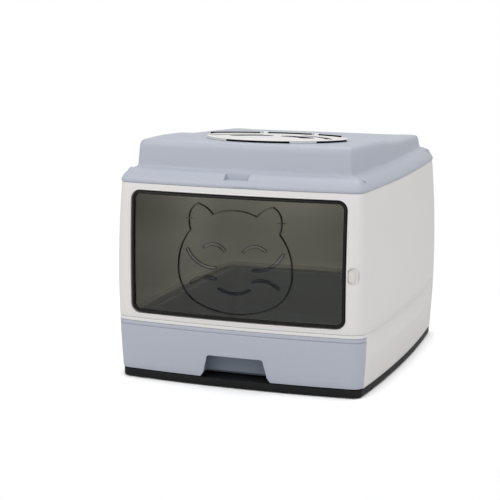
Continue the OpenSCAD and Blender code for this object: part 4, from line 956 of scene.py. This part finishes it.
studs = as_object(merged([stud(*place_at) for place_at in CORNERS]), "lid_studs")
finish_piece(studs, "lid", blue, ["corner_studs"], angle=50)

# %% [markdown]
# ## The door's black edge
#
# The door is framed by a slim black moulding with chamfered outer edges and a groove that holds the pane. Its dark
# line sets the smoked pane apart from the white shell. It is laid along the door path like the bead, with its
# section inside the opening.

# %% Door frame
DOOR_GAP, EDGE_W, EDGE_DEEP, GROOVE_IN, GROOVE = 1.6, 5.0, 7.7, 4.0, (2.15, 5.45)
INNER = DOOR_GAP + EDGE_W
FRAME_SECTION = ((-4.6, 0.3), (-3.0, 0.75), (-2.0, 1.7), (-DOOR_GAP, 3.0), (-DOOR_GAP, 6.3), (-3.0, EDGE_DEEP),
                 (-6.2, EDGE_DEEP), (-INNER, 7.3), (-INNER, GROOVE[1]), (-GROOVE_IN, GROOVE[1]),
                 (-GROOVE_IN, GROOVE[0]), (-INNER, GROOVE[0]), (-INNER, 0.7), (-6.2, 0.3))
door_edge = as_object(door_ring(FRAME_SECTION), "door_edge")
finish_piece(door_edge, "door", black_frame, ["door_frame"], angle=50)

# %% [markdown]
# ## Arcs through three points
#
# The flap's outline and its slots are chains of round arcs, as a toolmaker would dimension them. An arc through
# three points is easier to place than one with a centre and two angles: where it starts, one point on its way, and
# where it ends.

# %% Arcs through three points
def circle_through(a, b, c):
    d = 2 * (a.x * (b.y - c.y) + b.x * (c.y - a.y) + c.x * (a.y - b.y))
    ux = (a.dot(a) * (b.y - c.y) + b.dot(b) * (c.y - a.y) + c.dot(c) * (a.y - b.y)) / d
    uy = (a.dot(a) * (c.x - b.x) + b.dot(b) * (a.x - c.x) + c.dot(c) * (b.x - a.x)) / d
    return Vector((ux, uy))


def short_way(a, b):
    """The turn from angle a to angle b, the shorter way round."""
    return (b - a + math.pi) % (2 * math.pi) - math.pi


def three_point(a, b, c):
    """Centre, radius, first angle and sweep of the arc from a through b to c."""
    m = circle_through(a, b, c)
    angles = [math.atan2(p.y - m.y, p.x - m.x) for p in (a, b, c)]
    return m, (a - m).length, angles[0], short_way(angles[0], angles[1]) + short_way(angles[1], angles[2])


print("a quarter turn", three_point(Vector((1, 0)), Vector((0.6, 0.8)), Vector((0, 1)))[3])

# %% [markdown]
# ## The cat's head
#
# The flap is a cat's head seen from the front: a wide round face with two pointed ears. Its right half is a chain
# of seven arcs from the crown to the chin, and the left half is its mirror image. To grow it, each point moves
# along the normal between its two neighbours, which keeps the gap round the flap even at the ears too.

# %% Cat's head
CHIN_Z = 131.5
HEAD_START = (0, 175)
HEAD_ARCS = (((22, 172.5), (39.2, 166.5), 12), ((52.5, 178.5), (67, 183.9), 10), ((76.5, 176), (82, 158), 12),
             ((81.7, 149), (79, 139.5), 6), ((93.5, 116), (101.3, 77), 14), ((92.5, 39.5), (69.7, 16.1), 14),
             ((38, 4.6), (0, 0), 12))


def grown_by(points, grow):
    moved = []
    for i, p in enumerate(points):
        a, b = (p - points[i - 1]).normalized(), (points[(i + 1) % len(points)] - p).normalized()
        normal = Vector((-(a + b).y, (a + b).x)).normalized()
        moved.append(p + normal * grow / max(0.6, normal.dot(Vector((-b.y, b.x)))))
    return moved


def head(grow=0.0):
    half, start = [], Vector(HEAD_START)
    for through, end, steps in HEAD_ARCS:
        m, r, first, sweep = three_point(start, Vector(through), Vector(end))
        half += arc(m, r, first, first + sweep, steps)[:-1]
        start = Vector(end)
    whole = mirrored(half + [start])
    return [Vector((p.x, p.y + CHIN_Z)) for p in (grown_by(whole, grow) if grow else whole)]


print("cat's head points", len(head()))

# %% [markdown]
# ## The face in slots
#
# Seven slots cut through the flap let air in and draw a sleeping cat: two closed eyes, two pairs of whiskers and a
# smile. Each is a bent slot with round ends, like one that a milling cutter leaves. The eyes and whiskers are drawn
# once and mirrored.

# %% Face slots
SLOT_W, SLOT_STEPS, SLOT_END_STEPS = 4.0, 14, 6
EYE, UPPER_WHISKER = ((17.5, 107.5), (36.5, 117), (54, 111)), ((85, 106), (61, 82), (34.5, 77))
LOWER_WHISKER, SMILE = ((34.2, 57.8), (50, 60.2), (77.7, 48.7)), ((-26.5, 42), (0, 34.8), (26.5, 42))


def slot(through, width):
    m, r, start, sweep = three_point(*map(Vector, through))
    half, end, half_turn = width / 2, start + sweep, math.copysign(math.pi, sweep)

    def round_end(at, first):
        centre = m + r * Vector((math.cos(at), math.sin(at)))
        return arc(centre, half, first, first + half_turn, SLOT_END_STEPS)[1:-1]

    points = arc(m, r + half, start, end, SLOT_STEPS) + round_end(end, end)
    return points + arc(m, r - half, end, start, SLOT_STEPS) + round_end(start, start + math.pi)


def face_slot(through, mirror):
    """A function that draws the slot, wider by twice the growth it is given."""
    return lambda grow: [Vector((mirror * p.x, p.y + CHIN_Z)) for p in slot(through, SLOT_W + 2 * grow)]


face_slots = [face_slot(through, way) for through in (EYE, UPPER_WHISKER, LOWER_WHISKER) for way in (1, -1)]
face_slots.append(face_slot(SMILE, 1))
print("face slots", len(face_slots))

# %% [markdown]
# ## Working with a curved clear sheet
#
# Pane and flap come from one bowed sheet, and cuts in it are cleanest while it is still flat. So a flat sheet with
# many small cells is trimmed first, and then each point moves back onto the front's bow. The cutters widen towards
# both faces, which leaves the polished chamfer of a real cut. Cut edges look almost black, because no light comes
# along the sheet, so faces that don't look forward or back get the dark edge material.

# %% Sheet tools
PANE_IN, PANE_T, CHAMFER, FACE_ON = 2.3, 3.0, 0.6, 0.8


def flat_sheet(x0, x1, z0, z1, cell):
    """A closed flat sheet of small cells, as thick as the pane, with its front at y = 0."""
    bm = bmesh.new()
    bmesh.ops.create_grid(bm, x_segments=round((x1 - x0) / cell), y_segments=round((z1 - z0) / cell), size=0.5)
    bmesh.ops.scale(bm, vec=((x1 - x0) * MM, (z1 - z0) * MM, 1), verts=bm.verts)
    return thickened(turned(bm, (0, -1, 0), ((x0 + x1) / 2, 0, (z0 + z1) / 2)), (0, PANE_T, 0))


def chamfered(shape, way):
    """A cutter for the sheet that widens (way 1) or narrows (way -1) towards both faces."""
    steps = ((-1, CHAMFER + 1), (CHAMFER, 0), (PANE_T - CHAMFER, 0), (PANE_T + 1, CHAMFER + 1))
    return loft([[(p.x, y, p.y) for p in shape(way * grow)] for y, grow in steps])


def clear_sheet(obj, body, material, replaced):
    """Bends and finishes a trimmed sheet."""
    obj.data.materials.clear()
    for look in (material, edge_painted_shade):
        obj.data.materials.append(look)
    for face in obj.data.polygons:
        # Faces that don't look forward or back get the near-black edge material, painted shade along the cut edges.
        face.material_index = int(abs(face.normal.y) < FACE_ON)
    for v in obj.data.vertices:
        v.co.y += (front_y(v.co.x / MM, v.co.z / MM) + PANE_IN) * MM
    smooth(obj, 30)
    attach(obj, body)
    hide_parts(replaced)
    print(obj.name, "faces", len(obj.data.polygons))


# %% [markdown]
# ## The pins' bores
#
# The flap swings on two thin pins in its ears, half in the flap and half in the pane. A bore from the edge takes
# each half, and it is a hair wider in the pane, so the pin turns there. The bores are straight while the sheet is
# bowed, so they come after the bending.

# %% Bores for the flap's pins
FLAP_Z, FLAP_X, FLAP_PIN_R, FLAP_PIN_IN, FLAP_GAP = 290.0, 82.0, 0.8, 7.0, 0.7
FLAP_Y = front_y(FLAP_X, FLAP_Z) + PANE_IN + PANE_T / 2


def bored(obj, radius):
    for side in (-1, 1):
        ends = sorted((side * (FLAP_X - FLAP_PIN_IN), side * (FLAP_X + FLAP_PIN_IN + FLAP_GAP)))
        combine(obj, rod(*((x, FLAP_Y, FLAP_Z) for x in ends), radius, 24))


print("flap axis at", round(FLAP_Y, 2), FLAP_Z)

# %% [markdown]
# ## The smoked pane and the cat-head flap
#
# The pane fills the groove of the black edge and has a hole in the shape of the head, a little larger than the
# flap. The flap is the same head, cut from a sheet of its own, with the face slots in it. Both keep the same bow,
# so a closed flap lies flush with the pane.

# %% Pane and flap
PANE_LAP, PANE_CELL, FLAP_CELL, FLAP_HALF, HEAD_H = 4.2, 8, 6, 104, 186

pane = as_object(flat_sheet(-DOOR_HALF, DOOR_HALF, DOOR_LOW, DOOR_HIGH, PANE_CELL), "smoked_door_pane")
combine(pane, punch(door_path(-PANE_LAP), -10, 10), "INTERSECT")
combine(pane, chamfered(lambda grow: head(FLAP_GAP + grow), 1))
clear_sheet(pane, "door", smoke, "door_pane")
bored(pane, FLAP_PIN_R + 0.05)

flap = as_object(flat_sheet(-FLAP_HALF, FLAP_HALF, CHIN_Z - 2, CHIN_Z + HEAD_H, FLAP_CELL), "cat_flap_sheet")
combine(flap, chamfered(head, -1), "INTERSECT")
for shape in face_slots:
    combine(flap, chamfered(shape, 1))
clear_sheet(flap, "flap", smoke_flap, "cat_flap")
bored(flap, FLAP_PIN_R)
print("pane and flap bored, faces", len(pane.data.polygons), len(flap.data.polygons))

# %% [markdown]
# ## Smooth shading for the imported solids
#
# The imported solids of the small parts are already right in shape, but they are loose facets. Their meshes aren't
# touched: a small geometry group, which all of them share, smooths the faces and keeps every edge past 30 degrees
# sharp.

# %% Smooth-by-angle group
def make_smoothing():
    group = bpy.data.node_groups.new("Smooth below angle", "GeometryNodeTree")
    for way in ("INPUT", "OUTPUT"):
        group.interface.new_socket("Geometry", in_out=way, socket_type="NodeSocketGeometry")
    start, end = place(group, "NodeGroupInput", -600, 0), place(group, "NodeGroupOutput", 500, 0)
    angle = place(group, "GeometryNodeInputMeshEdgeAngle", -380, 0)
    below = place(group, "FunctionNodeCompare", -160, 0, operation="LESS_THAN")
    below.inputs[1].default_value = math.radians(30)
    by_edge = place(group, "GeometryNodeSetShadeSmooth", 60, 0, domain="EDGE")
    by_face = place(group, "GeometryNodeSetShadeSmooth", 280, 0, domain="FACE")
    wire(group, (angle, 0, below, 0), (start, "Geometry", by_edge, "Geometry"),
         (below, "Result", by_edge, "Shade Smooth"), (by_edge, "Geometry", by_face, "Geometry"),
         (by_face, "Geometry", end, 0))
    return group


smoothing = make_smoothing()
print("smoothing nodes", len(smoothing.nodes))

# %% [markdown]
# ## Materials for the small parts that keep their own shape
#
# Rails, pins, feet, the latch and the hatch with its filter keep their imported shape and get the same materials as
# the rest. A narrow bevel softens the edges that show. A few that lie in or behind the smoked door, such as the
# flap's pins and the strike peg, are dark, so that they don't stand out.

# %% The small parts
SMALL_PARTS = {
    "rubber_feet": (rubber, 0.6), "runner_rails": (white_trim, 0.3), "door_surround": (white_trim, 0.0),
    "door_sockets": (white_trim, 0.0), "latch_base": (white_trim, 0.0), "door_pins": (steel, 0.1),
    "strike_peg": (dark_steel, 0.2), "flap_pins": (dark_steel, 0.0), "latch_knob": (cream, 1.2),
    "latch_plate": (darker_blue_and_shade, 0.2), "lid_hinge_pins": (steel, 0.2), "hatch_seal": (matte_black, 0.3),
    "hatch_rail": (matte_black, 0.4), "hatch_ears": (blue, 0.3), "hatch_disc": (white, 0.35),
    "hatch_pins": (steel, 0.2), "hatch_backing": (matte_black, 0.2), "filter_tray": (black_plastic, 0.3),
    # The handle cup takes the darker blue-grey as painted shade, for the shade deep inside the handle notch.
    "carbon_filter": (foam, 0.5), "handle_cup": (darker_blue_and_shade, 0.4), "front_screws": (steel, 0.2),
}
for name, (material, width) in SMALL_PARTS.items():
    part = nodes[name]
    part.data.materials.clear()
    part.data.materials.append(material)
    if width:
        round_edges(part, width, segments=2, angle=40)
    part.modifiers.new("smooth", "NODES").node_group = smoothing
print("small parts", len(SMALL_PARTS))

# %% [markdown]
# ## The white floor
#
# A product like this stands on a white sweep, so that nothing but its own soft shadow shows round it. A curved sweep
# could be modelled, but a plane with two looks is simpler. It is a matt pale floor where it lights the object. The
# camera sees it brighter, and past the shadow it fades to plain white, so it has no edge.

# %% Floor
FLOOR_SIZE, SHADOW_REACH, WHITE_FROM = 12.0, 0.42, 0.75


def make_floor():
    bm = bmesh.new()
    bmesh.ops.create_grid(bm, x_segments=1, y_segments=1, size=FLOOR_SIZE)
    obj = as_object(bm, "studio_floor")
    material = bpy.data.materials.new("studio_white")
    material.use_nodes = True
    tree = material.node_tree
    tree.nodes.remove(tree.nodes["Principled BSDF"])
    seen = place(tree, "ShaderNodeBsdfDiffuse", -300, 100, Color=(1.35, 1.35, 1.35, 1))
    lit = place(tree, "ShaderNodeBsdfDiffuse", -300, -100, Color=(0.75, 0.75, 0.75, 1))
    far = place(tree, "ShaderNodeEmission", -300, 250, Color=(1, 1, 1, 1), Strength=1.0)
    coords = place(tree, "ShaderNodeTexCoord", -900, 500)
    reach = place(tree, "ShaderNodeVectorMath", -700, 500, operation="LENGTH")
    away = place(tree, "ShaderNodeMapRange", -500, 500, interpolation_type="SMOOTHSTEP", From_Min=SHADOW_REACH,
                 From_Max=WHITE_FROM)
    near_far = place(tree, "ShaderNodeMixShader", -100, 300)
    path = place(tree, "ShaderNodeLightPath", -300, 400)
    mix = place(tree, "ShaderNodeMixShader", 100, 100)
    wire(tree, (coords, "Object", reach, 0), (reach, "Value", away, "Value"), (away, 0, near_far, 0),
         (seen, 0, near_far, 1), (far, 0, near_far, 2), (path, "Is Camera Ray", mix, 0), (lit, 0, mix, 1),
         (near_far, 0, mix, 2), (mix, 0, tree.nodes["Material Output"], "Surface"))
    obj.data.materials.append(material)
    return obj


print("stage", make_floor().name)

# %% [markdown]
# ## The room
#
# A white room lights the object evenly from all sides, and the camera sees it as plain white. Both jobs could share
# one strength, but then a white background would mean too much light on the object. So camera rays get a backdrop
# of their own.

# %% World
ROOM_STRENGTH = 0.62

scene = bpy.context.scene
scene.view_settings.view_transform = "Standard"
world = bpy.data.worlds.new("studio")
scene.world = world
world.use_nodes = True
tree = world.node_tree
sky = tree.nodes["Background"]
sky.inputs["Color"].default_value, sky.inputs["Strength"].default_value = (1, 1, 1, 1), ROOM_STRENGTH
backdrop = place(tree, "ShaderNodeBackground", 0, -200, Color=(1, 1, 1, 1), Strength=1.0)
path = place(tree, "ShaderNodeLightPath", -200, 300)
mix = place(tree, "ShaderNodeMixShader", 250, 0)
wire(tree, (path, "Is Camera Ray", mix, 0), (sky, 0, mix, 1), (backdrop, 0, mix, 2),
     (mix, 0, tree.nodes["World Output"], "Surface"))
print("world", world.name, ROOM_STRENGTH)

# %% [markdown]
# ## Large soft lights
#
# Three large soft lights model the shape: the key from the front left, a wide one from above, and a weaker one from
# the right, which keeps the side wall close to the front in brightness. Small lamps would be simpler, but they
# would draw hard shadows under the lid's overhang and hot spots on the satin plastic.

# %% Soft lights
SOFT_LIGHTS = {"key": ((-1.6, -2.6, 2.2), 0.2, (2.0, 1.6), 26), "top": ((0.3, 0.2, 2.6), 0.3, (2.4, 2.4), 24),
               "side": ((2.1, -2.2, 1.3), 0.2, (1.6, 1.6), 8.6)}

for name, (spot, aim_z, (wide, tall), power) in SOFT_LIGHTS.items():
    data = bpy.data.lights.new(name, "AREA")
    data.shape, data.size, data.size_y, data.energy = "RECTANGLE", wide, tall, power
    light = bpy.data.objects.new(name, data)
    light.location = spot
    light.rotation_euler = (Vector((0, 0, aim_z)) - Vector(spot)).to_track_quat("-Z", "Y").to_euler()
    scene.collection.objects.link(light)
print("soft lights", len(SOFT_LIGHTS))

# %% [markdown]
# ## Daylight inside the cabin
#
# White walls this thin let some daylight through, which fills the cabin with a dim warm light. Walls that scatter
# light would need many more samples, so a weak lamp inside stands for it. It casts soft shadows, and neither the
# camera nor a reflection shows it.

# %% Cabin light
CABIN_SPOT, CABIN_POWER, CABIN_RADIUS, CABIN_COLOUR = (-0.08, 0.12, 0.26), 0.125, 0.06, (1, 0.985, 0.88)

glow = bpy.data.lights.new("cabin", "POINT")
glow.energy, glow.shadow_soft_size, glow.color = CABIN_POWER, CABIN_RADIUS, CABIN_COLOUR
glow_object = bpy.data.objects.new("cabin", glow)
glow_object.location = CABIN_SPOT
glow_object.visible_camera = glow_object.visible_glossy = glow_object.visible_transmission = False
scene.collection.objects.link(glow_object)
print("cabin light", CABIN_POWER, "W")

# %% [markdown]
# ## The camera
#
# The box is seen from the right of its front and a little above it, so the door, one side and the lid's top edge
# all show. A long lens from far away keeps upright edges nearly parallel, as a product shot does. The aim is a
# touch off the target, which puts the box where it belongs in the frame without a lens shift.

# %% Camera
TARGET, POSITION = Vector((0, 0, 0.172)), Vector((0.8260, -2.4209, 0.6752))
AIM_RIGHT, AIM_UP, SENSOR, LENS = -0.0258, 0.008, 36.0, 101.3

forward = (TARGET - POSITION).normalized()
right = forward.cross(Vector((0, 0, 1))).normalized()
up = right.cross(forward)
aim = (forward + right * math.tan(AIM_RIGHT) + up * math.tan(AIM_UP)).normalized()
data = bpy.data.cameras.new("camera")
data.sensor_width, data.lens = SENSOR, LENS
data.clip_start, data.clip_end = 0.05, 50
camera = bpy.data.objects.new("camera", data)
camera.location = POSITION
camera.rotation_euler = aim.to_track_quat("-Z", "Y").to_euler()
scene.collection.objects.link(camera)
scene.camera = camera
print("camera distance", round((TARGET - POSITION).length, 3))
